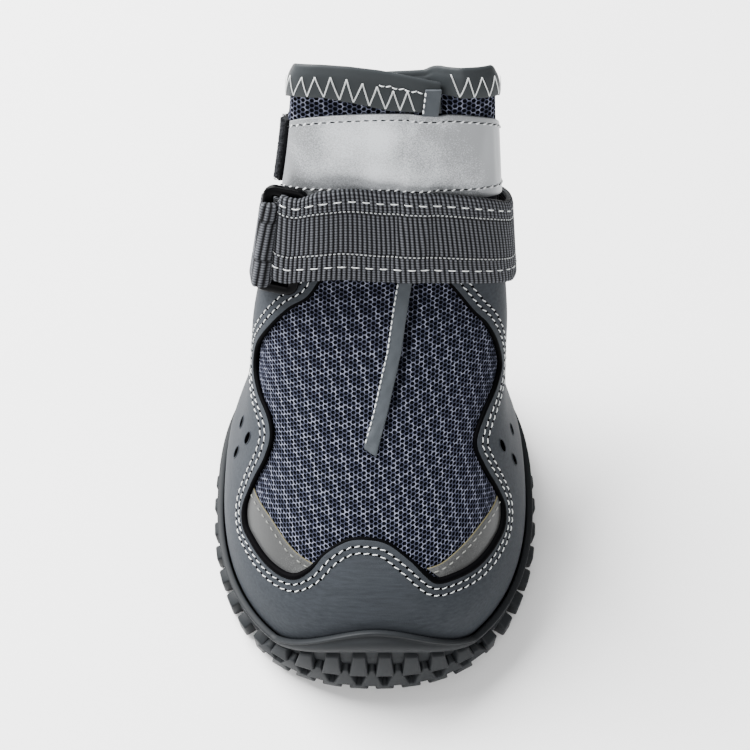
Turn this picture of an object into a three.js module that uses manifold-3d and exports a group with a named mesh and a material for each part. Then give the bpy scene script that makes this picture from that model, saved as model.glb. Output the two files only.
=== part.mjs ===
// Small dog's winter boot, empty and standing on its sole. Millimetres, +Z up, toe toward -Y.
import * as THREE from 'three';
import Module from 'manifold-3d';

const wasm = await Module();
wasm.setup();

// ---- driving dimensions (mm) ----
const WALL = 2.0;               // upper: knit, foam and lining together
const GAP = 0.35;               // clearance between two pieces that touch
const OVERLAY = 0.85;           // mudguard thickness
const OVERLAY_IN = 0.66;        // its inner face, out from the upper
const CUP_IN = OVERLAY_IN + OVERLAY + 0.5;   // inner face of the sole's cup, out from the upper
const CUP_WALL = 1.0;
const FLOOR_Z = 6.6;            // top of the sole inside the cup
const INSOLE = 2.4;
const SOLE_OUT = 2.8;           // sole side, out from the upper at the rim
const LUG_OUT = 1.1;            // side lugs, out from the sole side
const LUG_DEPTH = 2.6;
const TOE_SPRING = 5.0;
const SPRING_START = -24;
const ARCH = 1.0;
const WEBBING = 1.3;            // strap thickness; its width is 20
const WEBBING_HALF = 10;
const STRIP_W = 2.6;
const STRIP_T = 0.6;
const BAND_T = 0.7;
const FLAP_WALL = 1.1;
const FLAP_DROP = WALL + 0.4;   // the under flap lies this far below the outer one
const COLLAR_DIP = 0.24;
const ROUND = 44;                // columns round the upper and its binding
const ORIGIN_Y = 1.67;           // the last's own origin lies this far in front of the boot's middle

// The last: one row a section, from the feather line to the collar.
// Each section is a superellipse from its front point to its back point.
const LAST = {
  columns: ['yFront', 'zFront', 'yBack', 'zBack', 'half', 'widest', 'nFront', 'nBack', 'shift'],
  rows: [
    [-41.0, 7.0, 41.5, 7.0, 32.8, 0.52, 2.30, 2.50, 0.0],
    [-43.0, 13.5, 42.8, 12.0, 34.2, 0.52, 2.30, 2.50, 0.0],
    [-41.2, 22.5, 43.4, 17.5, 33.6, 0.52, 2.30, 2.50, 0.0],
    [-36.0, 30.0, 43.6, 22.5, 32.0, 0.51, 2.25, 2.45, 0.0],
    [-27.8, 36.5, 43.8, 27.5, 30.0, 0.50, 2.20, 2.40, 0.1],
    [-17.0, 43.0, 44.0, 32.5, 28.4, 0.48, 2.15, 2.35, 0.3],
    [-5.0, 50.3, 44.2, 38.0, 27.7, 0.45, 2.15, 2.30, 0.7],
    [7.5, 59.8, 44.5, 44.5, 27.3, 0.42, 2.20, 2.30, 1.2],
    [17.0, 69.2, 45.0, 52.5, 25.9, 0.38, 2.35, 2.30, 1.8],
    [22.5, 78.5, 45.7, 62.0, 24.7, 0.35, 2.50, 2.30, 2.4],
    [27.5, 89.0, 46.4, 74.0, 23.4, 0.35, 2.60, 2.30, 3.0],
    [32.6, 102.5, 47.0, 91.5, 21.7, 0.38, 2.60, 2.30, 3.5],
    [37.6, 118.0, 47.8, 109.5, 20.4, 0.42, 2.60, 2.40, 3.8],
  ],
};
const TOP = LAST.rows.length - 1;
// where the slit's left lip runs: station up the last, share of the way round
const SLIT = { columns: ['v', 'u'], rows: [
  [5.5, 0.004], [6.2, -0.010], [7.0, -0.024], [8.2, -0.035], [10.2, -0.049], [12.0, -0.074]] };
// top edge of the mudguard over the toe: share round from the toe centre, station
const CREST = { columns: ['u', 'v'], rows: [
  [0, 4.12], [0.025, 4.02], [0.04, 3.8], [0.055, 3.5], [0.07, 3.2], [0.083, 3.02], [0.1, 2.9]] };
// its edge up the quarter: station, share round
const WING = { columns: ['v', 'u'], rows: [
  [2.9, 0.1], [2.93, 0.125], [3.02, 0.152], [3.2, 0.167], [3.7, 0.17], [4.4, 0.158], [4.95, 0.148],
  [5.25, 0.143], [5.5, 0.153], [5.65, 0.175], [5.85, 0.2], [6.16, 0.212], [6.6, 0.2], [7.1, 0.17],
  [7.6, 0.137], [7.95, 0.107], [8.2, 0.095]] };
// rim of the rubber cup: how far it climbs the toe and the heel, in stations
const RIM = { side: 0.85, toe: 1.18, toeHalf: 0.095, heel: 0.5, heelHalf: 0.12 };
const STRAP = { low: 8.45, high: 10.15, offset: 2.5, endRound: -0.575 };
const BAND = { low: 9.95, high: 11.19, left: 0.188, right: -0.63 };
const TAPE = { low: 10.22, high: 11.19, from: 0.2, to: 0.34 };
const BINDING = { depth: 0.45, to: 0.95, t: 0.8, gap: 0.5 };
const RING = { u: 0.172, v: 9.28, lift: 3.35, halfLong: 11.9, halfWide: 4.2, bar: 2.8, thick: 2.0 };

// ---- the last's surface ----
const lerp = (a, b, t) => a + (b - a) * t;
const clamp = (x, a, b) => Math.min(b, Math.max(a, x));
const smooth = (x) => { const t = clamp(x, 0, 1); return t * t * (3 - 2 * t); };
const add = (a, b, s = 1) => [a[0] + b[0] * s, a[1] + b[1] * s, a[2] + b[2] * s];
const sub = (a, b) => add(a, b, -1);
const cross = (a, b) => [a[1] * b[2] - a[2] * b[1], a[2] * b[0] - a[0] * b[2], a[0] * b[1] - a[1] * b[0]];
const unit = (a) => { const l = Math.hypot(...a); return a.map((x) => x / l); };

function section(v) {
  const R = LAST.rows;
  const i = clamp(Math.floor(v), 0, TOP - 1);
  const t = v - i;
  const p1 = R[i];
  const p2 = R[i + 1];
  const p0 = i > 0 ? R[i - 1] : p1.map((x, k) => 2 * x - p2[k]);
  const p3 = i < TOP - 1 ? R[i + 2] : p2.map((x, k) => 2 * x - p1[k]);
  const at = (k) => 0.5 * (2 * p1[k] + (p2[k] - p0[k]) * t
    + (2 * p0[k] - 5 * p1[k] + 4 * p2[k] - p3[k]) * t * t
    + (3 * p1[k] - p0[k] - 3 * p2[k] + p3[k]) * t * t * t);
  return Object.fromEntries(LAST.columns.map((name, k) => [name, at(k)]));
}

function skin(u, v) {
  const s = section(v);
  const c = Math.cos(2 * Math.PI * u);
  const q = Math.sin(2 * Math.PI * u);
  const n = lerp(s.nFront, s.nBack, 0.5 - 0.5 * c);
  const r = (Math.abs(c) ** n + Math.abs(q) ** n) ** (-1 / n);
  const length = Math.hypot(s.yBack - s.yFront, s.zBack - s.zFront);
  const along = length * ((1 - s.widest) + r * c * (c > 0 ? s.widest : 1 - s.widest));
  return [-r * q * s.half + s.shift,
    s.yBack + (s.yFront - s.yBack) / length * along,
    s.zBack + (s.zFront - s.zBack) / length * along];
}

function tangents(u, v) {
  const e = 1e-3;
  return [sub(skin(u, v + e), skin(u, v - e)), sub(skin(u + e, v), skin(u - e, v))];
}

function out(u, v, offset) {
  const [up, round] = tangents(u, v);
  return add(skin(u, v), unit(cross(up, round)), offset);
}

function lookup(table, x) {
  const R = table.rows;
  let i = 0;
  while (i < R.length - 2 && x > R[i + 1][0]) i += 1;
  return lerp(R[i][1], R[i + 1][1], clamp((x - R[i][0]) / (R[i + 1][0] - R[i][0]), 0, 1));
}

const slitU = (v) => lookup(SLIT, v);
const wrapDist = (u) => Math.abs(u - Math.round(u));
const perimeterStep = (v) => Math.hypot(...sub(skin(0.01, v), skin(-0.01, v))) / 0.02;  // mm a turn
const collarTop = (u) => TOP - COLLAR_DIP * Math.exp(-(((u - slitU(TOP) - 0.01) / 0.045) ** 2));
const stripBump = (u, v) => {
  const mm = (u - slitU(v)) * perimeterStep(v) - STRIP_W / 2;
  return 1 - smooth((Math.abs(mm) - STRIP_W / 2 - 0.4) / 3);
};

// ---- meshes from grids ----
function closed(points, faces) {
  let volume = 0;
  for (const [a, b, c] of faces) {
    const [A, B, C] = [points[a], points[b], points[c]];
    volume += A[0] * (B[1] * C[2] - B[2] * C[1]) + A[1] * (B[2] * C[0] - B[0] * C[2])
      + A[2] * (B[0] * C[1] - B[1] * C[0]);
  }
  return { points, faces: volume < 0 ? faces.map(([a, b, c]) => [a, c, b]) : faces };
}

// a slab between two sheets at(i, j, side); rows i, columns j, joined round when wrap is set
function slab(rows, cols, at, wrap = false) {
  const w = wrap ? cols : cols + 1;
  const points = [];
  for (let side = 0; side < 2; side += 1) {
    for (let i = 0; i <= rows; i += 1) for (let j = 0; j < w; j += 1) points.push(at(i, j, side));
  }
  const id = (side, i, j) => side * (rows + 1) * w + i * w + (j % w);
  const faces = [];
  const quad = (a, b, c, d) => faces.push([a, b, c], [a, c, d]);
  for (let i = 0; i < rows; i += 1) {
    for (let j = 0; j < cols; j += 1) {
      quad(id(1, i, j), id(1, i + 1, j), id(1, i + 1, j + 1), id(1, i, j + 1));
      quad(id(0, i, j), id(0, i, j + 1), id(0, i + 1, j + 1), id(0, i + 1, j));
    }
    if (!wrap) {
      quad(id(1, i, 0), id(0, i, 0), id(0, i + 1, 0), id(1, i + 1, 0));
      quad(id(0, i, cols), id(1, i, cols), id(1, i + 1, cols), id(0, i + 1, cols));
    }
  }
  for (let j = 0; j < cols; j += 1) {
    quad(id(1, 0, j), id(1, 0, j + 1), id(0, 0, j + 1), id(0, 0, j));
    quad(id(1, rows, j), id(0, rows, j), id(0, rows, j + 1), id(1, rows, j + 1));
  }
  return closed(points, faces);
}

// a sheet of even thickness about the middle surface mid(i, j)
function sheet(rows, cols, mid, thickness) {
  const M = [];
  for (let i = 0; i <= rows; i += 1) M.push(Array.from({ length: cols + 1 }, (_, j) => mid(i, j)));
  const at = (i, j, side) => {
    const a = sub(M[Math.min(i + 1, rows)][j], M[Math.max(i - 1, 0)][j]);
    const b = sub(M[i][Math.min(j + 1, cols)], M[i][Math.max(j - 1, 0)]);
    return add(M[i][j], unit(cross(a, b)), (side - 0.5) * thickness);
  };
  return slab(rows, cols, at);
}

const steps = (a, b, n) => Array.from({ length: n + 1 }, (_, i) => lerp(a, b, i / n));

// ---- upper: a hollow tube, slit down the front, its right edge running on under the left ----
function upper() {
  const V = [0, 0.6, 1.2, 1.9, 2.7, 3.5, 4.3, 5.0, 5.6, 6.2, 7.0, 7.8, 8.6, 9.6, 10.6, 11.35, 12];
  const END = 8;                // row where the slit starts
  const FLAP = 10;               // first row of the under flap
  const N = ROUND;
  const T = steps(0, 1, N);
  T[N - 1] = 1 - 0.35 / N;
  T[N - 2] = 1 - 1.3 / N;
  const flapT = [0.03, 0.058, 0.085];
  const last = V.length - 1;
  const sink = (t, v) => FLAP_DROP * smooth((v - V[END]) / (V[FLAP] - V[END]))
    * smooth((t - (1 - 1.9 / N)) / (1.3 / N));
  const points = [];
  const ids = new Map();
  const id = (side, i, j) => {
    const J = j === N && i <= END ? 0 : j;
    const key = `${side},${i},${J}`;
    if (!ids.has(key)) {
      const t = J <= N ? T[J] : 1 + flapT[J - N - 1];
      const open = smooth((V[i] - V[END]) / 0.5) * 0.0026;
      const u = slitU(V[i]) + (J <= N ? lerp(open * 0.4, 1 - open, t) : t);
      const top = J > N ? TOP - 0.12 : collarTop(J === N ? u - 1.05 : u - Math.round(u - 0.4));
      const v = i === last ? top : V[i];
      const drop = sink(Math.min(t, 1), v);
      const wall = lerp(WALL, FLAP_WALL, drop / FLAP_DROP);
      ids.set(key, points.push(out(u, v, side ? -drop : -drop - wall)) - 1);
    }
    return ids.get(key);
  };
  const faces = [];
  const quad = (a, b, c, d) => {
    for (const f of [[a, b, c], [a, c, d]]) if (new Set(f).size === 3) faces.push(f);
  };
  for (let i = 0; i < last; i += 1) {
    const cols = i >= FLAP ? N + flapT.length : N;
    for (let j = 0; j < cols; j += 1) {
      quad(id(1, i, j), id(1, i + 1, j), id(1, i + 1, j + 1), id(1, i, j + 1));
      quad(id(0, i, j), id(0, i, j + 1), id(0, i + 1, j + 1), id(0, i + 1, j));
    }
    if (i >= END) {
      quad(id(1, i, 0), id(0, i, 0), id(0, i + 1, 0), id(1, i + 1, 0));
      quad(id(0, i, cols), id(1, i, cols), id(1, i + 1, cols), id(0, i + 1, cols));
    }
  }
  for (let j = 0; j < N; j += 1) quad(id(1, 0, j), id(1, 0, j + 1), id(0, 0, j + 1), id(0, 0, j));
  for (let j = 0; j < N + flapT.length; j += 1) {
    quad(id(1, last, j), id(0, last, j), id(0, last, j + 1), id(1, last, j + 1));
    if (j >= N) quad(id(1, FLAP, j), id(1, FLAP, j + 1), id(0, FLAP, j + 1), id(0, FLAP, j));
  }
  return closed(points, faces);
}

// ---- mudguard: a ring round the foot whose top edge waves over the toe and up the quarters ----
function mudguard() {
  const low = [0.05, 0.55, 1.1, 1.7, 2.3];
  const crestU = [-0.1, -0.083, -0.066, -0.048, -0.03, -0.012, 0.012, 0.03, 0.048, 0.066, 0.083, 0.1];
  const NB = 24;
  const CR = 3;
  const points = [];
  const ids = new Map();
  const id = (side, key, u, v) => {
    const k = `${side},${key}`;
    if (!ids.has(k)) ids.set(k, points.push(out(u, v, OVERLAY_IN + side * OVERLAY)) - 1);
    return ids.get(k);
  };
  const nc = crestU.length - 1;
  const ring = nc + NB;
  const edge = (m) => WING.rows[m];
  const u0 = edge(0)[1];
  // columns 0..nc run over the toe from right to left, the rest round the heel back to column 0
  const colU = (j, ue) => (j <= nc ? crestU[j] : lerp(ue, 1 - ue, (j - nc) / NB));
  const base = (side, i, j) => {
    const J = j % ring;
    const v = i < low.length ? low[i] : edge(0)[0];
    return id(side, `r${i},${J}`, colU(J, u0), v);
  };
  const wing = (side, m, j) => {
    if (m === 0) return base(side, low.length, nc + j);
    return id(side, `w${m},${j}`, lerp(edge(m)[1], 1 - edge(m)[1], j / NB), edge(m)[0]);
  };
  const crest = (side, m, j) => {
    if (m === 0 || j === 0 || j === nc) return base(side, low.length, j);
    const u = crestU[j];
    return id(side, `c${m},${j}`, u, lerp(edge(0)[0], lookup(CREST, Math.abs(u)), m / CR));
  };
  const faces = [];
  const quad = (a, b, c, d) => {
    for (const f of [[a, b, c], [a, c, d]]) if (new Set(f).size === 3) faces.push(f);
  };
  const both = (at, i, j) => {
    quad(at(1, i, j), at(1, i + 1, j), at(1, i + 1, j + 1), at(1, i, j + 1));
    quad(at(0, i, j), at(0, i, j + 1), at(0, i + 1, j + 1), at(0, i + 1, j));
  };
  const M = WING.rows.length - 1;
  for (let j = 0; j < ring; j += 1) {
    for (let i = 0; i < low.length; i += 1) both(base, i, j);
    quad(base(1, 0, j), base(1, 0, j + 1), base(0, 0, j + 1), base(0, 0, j));
  }
  for (let j = 0; j < NB; j += 1) {
    for (let m = 0; m < M; m += 1) both(wing, m, j);
    quad(wing(1, M, j), wing(0, M, j), wing(0, M, j + 1), wing(1, M, j + 1));
  }
  for (let m = 0; m < M; m += 1) {
    quad(wing(1, m, 0), wing(0, m, 0), wing(0, m + 1, 0), wing(1, m + 1, 0));
    quad(wing(0, m, NB), wing(1, m, NB), wing(1, m + 1, NB), wing(0, m + 1, NB));
  }
  for (let j = 0; j < nc; j += 1) {
    for (let m = 0; m < CR; m += 1) both(crest, m, j);
    quad(crest(1, CR, j), crest(0, CR, j), crest(0, CR, j + 1), crest(1, CR, j + 1));
  }
  return closed(points, faces);
}

// ---- outsole: a cup with toe spring, arch and lugs ----
const groundZ = (y) => TOE_SPRING * clamp((SPRING_START - y) / 22, 0, 2) ** 1.8
  + ARCH * Math.sin(Math.PI * clamp((y + 8) / 22, 0, 1)) ** 2
  + 1.2 * clamp((y - 39) / 7, 0, 2) ** 2;

function outline(u, grow, z) {
  const p = out(u, 0.9, SOLE_OUT + grow);
  return [p[0], p[1], z === undefined ? groundZ(p[1]) : z];
}

function rimTop(u) {
  const bump = (d, half, power) => (d < half ? (0.5 + 0.5 * Math.cos(Math.PI * d / half)) ** power : 0);
  return RIM.side + RIM.toe * bump(wrapDist(u), RIM.toeHalf, 0.6)
    + RIM.heel * bump(wrapDist(u - 0.5), RIM.heelHalf, 1);
}

function cup() {
  const N = 52;
  const above = (p, dz) => [p[0], p[1], p[2] + dz];
  const inset = (u, k, dz) => {
    const p = outline(u, -2.2, 0);
    const q = [p[0] * k, lerp(0, p[1], k)];
    return [q[0], q[1], groundZ(q[1]) + LUG_DEPTH + dz];
  };
  const ringOf = [
    (u) => { const p = out(u, 0, CUP_IN); return [p[0], p[1], FLOOR_Z]; },
    (u) => out(u, rimTop(u) * 0.25, CUP_IN),
    (u) => out(u, rimTop(u) * 0.5, CUP_IN),
    (u) => out(u, rimTop(u) * 0.75, CUP_IN),
    (u) => out(u, rimTop(u), CUP_IN + 0.05),
    (u) => out(u, rimTop(u) + 0.02, CUP_IN + CUP_WALL * 0.55),
    (u) => out(u, rimTop(u) - 0.08, CUP_IN + CUP_WALL),
    (u) => out(u, Math.max(0.5, rimTop(u) * 0.5), CUP_IN + CUP_WALL + 0.05),
    (u) => outline(u, 0, 7 + 0.35 * groundZ(outline(u, 0)[1])),
    (u) => above(outline(u, -0.5), LUG_DEPTH + 0.8),
    (u) => above(outline(u, -2.2), LUG_DEPTH),
    (u) => inset(u, 0.72, 0),
    (u) => inset(u, 0.38, 0),
  ];
  const points = [];
  for (const ring of ringOf) for (let j = 0; j < N; j += 1) points.push(ring((j + 0.5) / N));
  const top = points.push([0, 0, FLOOR_Z]) - 1;
  const under = points.push([0, 0, groundZ(0) + LUG_DEPTH]) - 1;
  const faces = [];
  const id = (i, j) => i * N + (j % N);
  for (let j = 0; j < N; j += 1) {
    faces.push([top, id(0, j), id(0, j + 1)]);
    for (let i = 0; i < ringOf.length - 1; i += 1) {
      faces.push([id(i, j), id(i + 1, j), id(i + 1, j + 1)], [id(i, j), id(i + 1, j + 1), id(i, j + 1)]);
    }
    faces.push([under, id(ringOf.length - 1, j + 1), id(ringOf.length - 1, j)]);
  }
  return closed(points, faces);
}

// a block from eight corners: four below, four above, both counter-clockwise seen from above
function block(c) {
  const faces = [[0, 2, 1], [0, 3, 2], [4, 5, 6], [4, 6, 7]];
  for (let k = 0; k < 4; k += 1) {
    const n = (k + 1) % 4;
    faces.push([k, n, 4 + n], [k, 4 + n, 4 + k]);
  }
  return closed(c, faces);
}

function sideLugs() {
  const list = [];
  const COUNT = 42;
  const fine = 720;
  const length = [0];
  for (let k = 0; k < fine; k += 1) {
    const step = sub(outline((k + 1) / fine, 0, 0), outline(k / fine, 0, 0));
    length.push(length[k] + Math.hypot(...step));
  }
  let k = 0;
  for (let n = 0; n < COUNT; n += 1) {
    const want = (n + 0.5) / COUNT * length[fine];
    while (length[k + 1] < want) k += 1;
    const u = (k + 0.5) / fine;
    const half = 1.6 / length[fine];
    const toe = 1 - smooth((wrapDist(u) - 0.06) / 0.08);
    const high = lerp(6.4, 8.6, toe);
    const corner = (du, grow, dz) => {
      const p = outline(u + du, grow, 0);
      return [p[0], p[1], groundZ(outline(u, 0)[1]) + dz];
    };
    list.push(block([
      corner(-half * 0.85, lerp(-4.2, -2.4, toe), 0), corner(half * 0.85, lerp(-4.2, -2.4, toe), 0),
      corner(half * 0.85, LUG_OUT - 0.5, 0), corner(-half * 0.85, LUG_OUT - 0.5, 0),
      corner(-half, -0.6, high), corner(half, -0.6, high),
      corner(half, LUG_OUT - 0.8 * toe, high - 1.2), corner(-half, LUG_OUT - 0.8 * toe, high - 1.2)]));
  }
  return list;
}

function treadLugs() {
  const list = [];
  const PITCH_Y = 9.6;
  const PITCH_X = 11.4;
  for (let row = 0; row < 8; row += 1) {
    const y = -33.6 + row * PITCH_Y;
    for (let c = -3; c <= 3; c += 1) {
      const x = (c + (row % 2 ? 0.5 : 0)) * PITCH_X;
      const u = Math.atan2(-x, -y) / (2 * Math.PI);
      const edge = outline(u, -8.2, 0);
      if (Math.hypot(x, y) > Math.hypot(edge[0], edge[1])) continue;
      const z = groundZ(y);
      const ring = (hx, hy, dz) => [[x - hx, y - hy], [x + hx, y - hy], [x + hx, y + hy], [x - hx, y + hy]]
        .map(([a, b]) => [a, b, z + dz]);
      list.push(block([...ring(3.3, 2.7, 0), ...ring(3.9, 3.3, LUG_DEPTH + 1.2)]));
    }
  }
  return list;
}

function toManifold({ points, faces }) {
  const mesh = new wasm.Mesh({
    numProp: 3,
    vertProperties: Float32Array.from(points.flat()),
    triVerts: Uint32Array.from(faces.flat()),
  });
  return new wasm.Manifold(mesh);
}

function outsole() {
  let solid = toManifold(cup());
  for (const lug of [...sideLugs(), ...treadLugs()]) solid = solid.add(toManifold(lug));
  const m = solid.getMesh();
  const points = [];
  for (let i = 0; i < m.vertProperties.length; i += m.numProp) {
    points.push(Array.from(m.vertProperties.slice(i, i + 3)));
  }
  const faces = [];
  for (let i = 0; i < m.triVerts.length; i += 3) faces.push(Array.from(m.triVerts.slice(i, i + 3)));
  return closed(points, faces);
}

function insole() {
  const N = 44;
  const points = [];
  const rings = [[0.0, 1.8, 0], [0.0, 1.1, 0.6], [0.3, 0.8, 0], [0.36, 1.5, 0]];
  for (const [v, grow, dz] of rings) {
    for (let j = 0; j < N; j += 1) {
      const p = out(j / N, v, -WALL - grow);
      points.push([p[0], p[1], v > 0 ? FLOOR_Z + GAP + INSOLE - (grow < 1 ? 0.4 : 0) : FLOOR_Z + GAP + dz]);
    }
  }
  const a = points.push([0, 0, FLOOR_Z + GAP + 0.05]) - 1;
  const b = points.push([0, 0, FLOOR_Z + GAP + INSOLE - 0.5]) - 1;
  const faces = [];
  const id = (i, j) => i * N + (j % N);
  for (let j = 0; j < N; j += 1) {
    faces.push([a, id(0, j + 1), id(0, j)], [b, id(3, j), id(3, j + 1)]);
    for (let i = 0; i < 3; i += 1) {
      faces.push([id(i, j), id(i, j + 1), id(i + 1, j + 1)], [id(i, j), id(i + 1, j + 1), id(i + 1, j)]);
    }
  }
  return closed(points, faces);
}

// ---- collar binding: down the outside of the rim and over its top ----
function collarBinding() {
  const T = [...steps(0, 1, ROUND).filter((t) => t < BINDING.to - 0.01), BINDING.to];
  const mid = BINDING.gap + BINDING.t / 2;
  const over = 0.05;            // the top leg's station above the rim
  const profile = [[-BINDING.depth, mid], [-BINDING.depth / 2, mid], [-0.01, mid - 0.03],
    [over, 0.1], [over, -0.95]];
  return sheet(profile.length - 1, T.length - 1, (i, j) => {
    const u = slitU(TOP) + 0.001 + T[j];
    return out(u, collarTop(u - Math.round(u - 0.4)) + profile[i][0], profile[i][1]);
  }, BINDING.t);
}

// ---- thin strip sewn along the slit's left lip ----
function slitEdging() {
  const V = [5.5, 5.75, 6.1, 6.6, 7.1, 7.7, 8.4, 9.2, 10, 10.7, 11.2, 11.26, 11.5, 11.7];
  return slab(V.length - 1, 2, (i, j, side) => {
    const v = V[i];
    const across = (0.1 + j / 2 * STRIP_W * (i === 0 ? 0.6 : 1)) / perimeterStep(v);
    const lift = smooth((v - BAND.high - 0.01) / 0.05) * (BINDING.t + BINDING.gap);
    return out(slitU(v) + across, v, GAP + lift + side * STRIP_T);
  });
}

function reflectiveBand() {
  const U = steps(BAND.left, BAND.right, 44);
  const V = steps(BAND.low, BAND.high, 2);
  return slab(2, 44, (i, j, side) => {
    const v = V[i];
    const bump = stripBump(U[j], v) * (STRIP_T + GAP - 0.05);
    return out(U[j], v, GAP + bump + side * BAND_T);
  });
}

function closureTape() {
  const U = steps(TAPE.from, TAPE.to, 8);
  return slab(1, 8, (i, j, side) => out(U[j], i ? TAPE.high : TAPE.low, GAP + side * 0.9));
}

// ---- rectangular ring and the two webbings folded round its long bars ----
const ringFrame = (() => {
  const [up, round] = tangents(RING.u, RING.v).map(unit);
  const normal = unit(cross(up, round));
  const along = unit(cross(normal, cross(up, normal)));
  const across = unit(cross(normal, along));
  const centre = out(RING.u, RING.v, RING.lift);
  const side = Math.sign(across[0] * round[0] + across[1] * round[1] + across[2] * round[2]);
  return { centre, normal, along, across: across.map((x) => x * side) };
})();

function ringPoint(a, b, h) {
  return add(add(add(ringFrame.centre, ringFrame.across, a), ringFrame.along, b), ringFrame.normal, h);
}

function ring() {
  const R = 1.5;
  const path = [];
  const corners = [[1, 1], [-1, 1], [-1, -1], [1, -1]];
  corners.forEach(([sx, sy], q) => {
    for (let k = 0; k <= 4; k += 1) {
      const a = (q + k / 4) * Math.PI / 2;
      path.push([sx * (RING.halfWide - R) + R * Math.cos(a), sy * (RING.halfLong - R) + R * Math.sin(a),
        Math.cos(a), Math.sin(a)]);
    }
  });
  const SIDES = 8;
  const points = [];
  for (const [x, y, nx, ny] of path) {
    for (let s = 0; s < SIDES; s += 1) {
      const a = (s + 0.5) / SIDES * 2 * Math.PI;
      const square = 0.92 / Math.max(Math.abs(Math.cos(a)), Math.abs(Math.sin(a))) ** 0.6;
      const d = Math.cos(a) * square * RING.bar / 2;
      points.push(ringPoint(x + nx * d, y + ny * d, Math.sin(a) * square * RING.thick / 2));
    }
  }
  const faces = [];
  const id = (i, s) => (i % path.length) * SIDES + (s % SIDES);
  for (let i = 0; i < path.length; i += 1) {
    for (let s = 0; s < SIDES; s += 1) {
      faces.push([id(i, s), id(i + 1, s), id(i + 1, s + 1)], [id(i, s), id(i + 1, s + 1), id(i, s + 1)]);
    }
  }
  return closed(points, faces);
}

// path round the bar on the given side: distance across, height above the ring's plane
const FOLD = { columns: ['across', 'height'], rows: [
  [8.2, -2.4], [6.0, -2.2], [3.3, -2.15], [2.1, -1.55], [1.6, 0], [2.1, 1.55], [3.3, 2.15], [5.6, 2.15]] };

function webbingStrap() {
  const U = [0.098, 0.075, 0.05, ...steps(0.025, STRAP.endRound, 36)];
  const cols = FOLD.rows.length + U.length - 1;
  return sheet(2, cols, (i, j) => {
    if (j < FOLD.rows.length) return ringPoint(-FOLD.rows[j][0], (i - 1) * WEBBING_HALF, FOLD.rows[j][1]);
    const u = U[j - FOLD.rows.length];
    const lift = STRAP.offset + 1.9 * smooth((u - 0.03) / 0.09) + 0.6 * stripBump(u, 10);
    return out(u, lerp(STRAP.low, STRAP.high, i / 2), lift);
  }, WEBBING);
}

function ringTab() {
  const U = [0.27, 0.3, 0.335, 0.37];
  const cols = FOLD.rows.length + U.length - 1;
  return sheet(2, cols, (i, j) => {
    const k = j;
    if (k < FOLD.rows.length) return ringPoint(FOLD.rows[k][0], (i - 1) * WEBBING_HALF, FOLD.rows[k][1]);
    const u = U[k - FOLD.rows.length];
    return out(u, lerp(STRAP.low, STRAP.high, i / 2), STRAP.offset + 2.6 * smooth((0.37 - u) / 0.11));
  }, WEBBING);
}

// ---- assembly ----
const paint = (color, roughness, metalness = 0) => new THREE.MeshStandardMaterial({
  color, roughness, metalness });
const LOOK = {
  rubber: paint('#3b4043', 0.75),
  knit: paint('#2c3046', 0.9),
  overlay: paint('#565c60', 0.55),
  grey_webbing: paint('#606467', 0.85),
  silver: paint('#b4b8bb', 0.4),
  black_plastic: paint('#1b1c1e', 0.45),
  tape: paint('#17181b', 0.95),
  foam: paint('#4a4d52', 0.9),
};

function mesh(name, { points, faces }, look) {
  const flat = new Float32Array(points.flatMap(([x, y, z]) => [x, y - ORIGIN_Y, z]));
  const geometry = new THREE.BufferGeometry();
  geometry.setAttribute('position', new THREE.BufferAttribute(flat, 3));
  geometry.setIndex(faces.flat());
  geometry.computeVertexNormals();
  const m = new THREE.Mesh(geometry, LOOK[look]);
  m.name = name;
  return m;
}

const boot = new THREE.Group();
boot.name = 'dog_boot';
boot.add(
  mesh('outsole', outsole(), 'rubber'),
  mesh('insole', insole(), 'foam'),
  mesh('upper', upper(), 'knit'),
  mesh('mudguard', mudguard(), 'overlay'),
  mesh('collar_binding', collarBinding(), 'overlay'),
  mesh('slit_edging', slitEdging(), 'silver'),
  mesh('reflective_band', reflectiveBand(), 'silver'),
  mesh('closure_tape', closureTape(), 'tape'),
  mesh('webbing_strap', webbingStrap(), 'grey_webbing'),
  mesh('ring', ring(), 'black_plastic'),
  mesh('ring_tab', ringTab(), 'grey_webbing'),
);

export default boot;
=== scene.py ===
"""Small dog's winter boot: looks built over the packed solids, laid out as an add-on."""
import math

import bmesh
import bpy
import numpy as np
from bpy.props import FloatProperty, FloatVectorProperty, IntProperty, PointerProperty
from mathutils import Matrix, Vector


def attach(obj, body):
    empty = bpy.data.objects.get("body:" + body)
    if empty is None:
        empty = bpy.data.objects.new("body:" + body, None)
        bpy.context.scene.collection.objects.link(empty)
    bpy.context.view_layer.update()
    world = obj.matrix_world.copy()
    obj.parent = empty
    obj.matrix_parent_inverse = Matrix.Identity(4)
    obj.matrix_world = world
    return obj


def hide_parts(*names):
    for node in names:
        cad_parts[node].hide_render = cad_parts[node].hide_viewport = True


bl_info = {
    "name": "Dog boot",
    "version": (1, 0, 0),
    "blender": (4, 5, 0),
    "location": "View3D > Sidebar > Dog boot",
    "description": "Builds a small dog's winter boot piece by piece",
    "category": "Add Mesh",
}

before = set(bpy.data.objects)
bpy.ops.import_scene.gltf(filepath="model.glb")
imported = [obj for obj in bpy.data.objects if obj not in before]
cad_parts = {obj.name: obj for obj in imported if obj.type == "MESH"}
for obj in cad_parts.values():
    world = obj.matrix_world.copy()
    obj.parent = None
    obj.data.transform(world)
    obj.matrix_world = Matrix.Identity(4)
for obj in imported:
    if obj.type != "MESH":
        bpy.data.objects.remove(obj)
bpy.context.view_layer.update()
MM = 0.001
ORIGIN_Y = 1.67  # the last's own origin lies this far in front of the boot's middle

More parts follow.
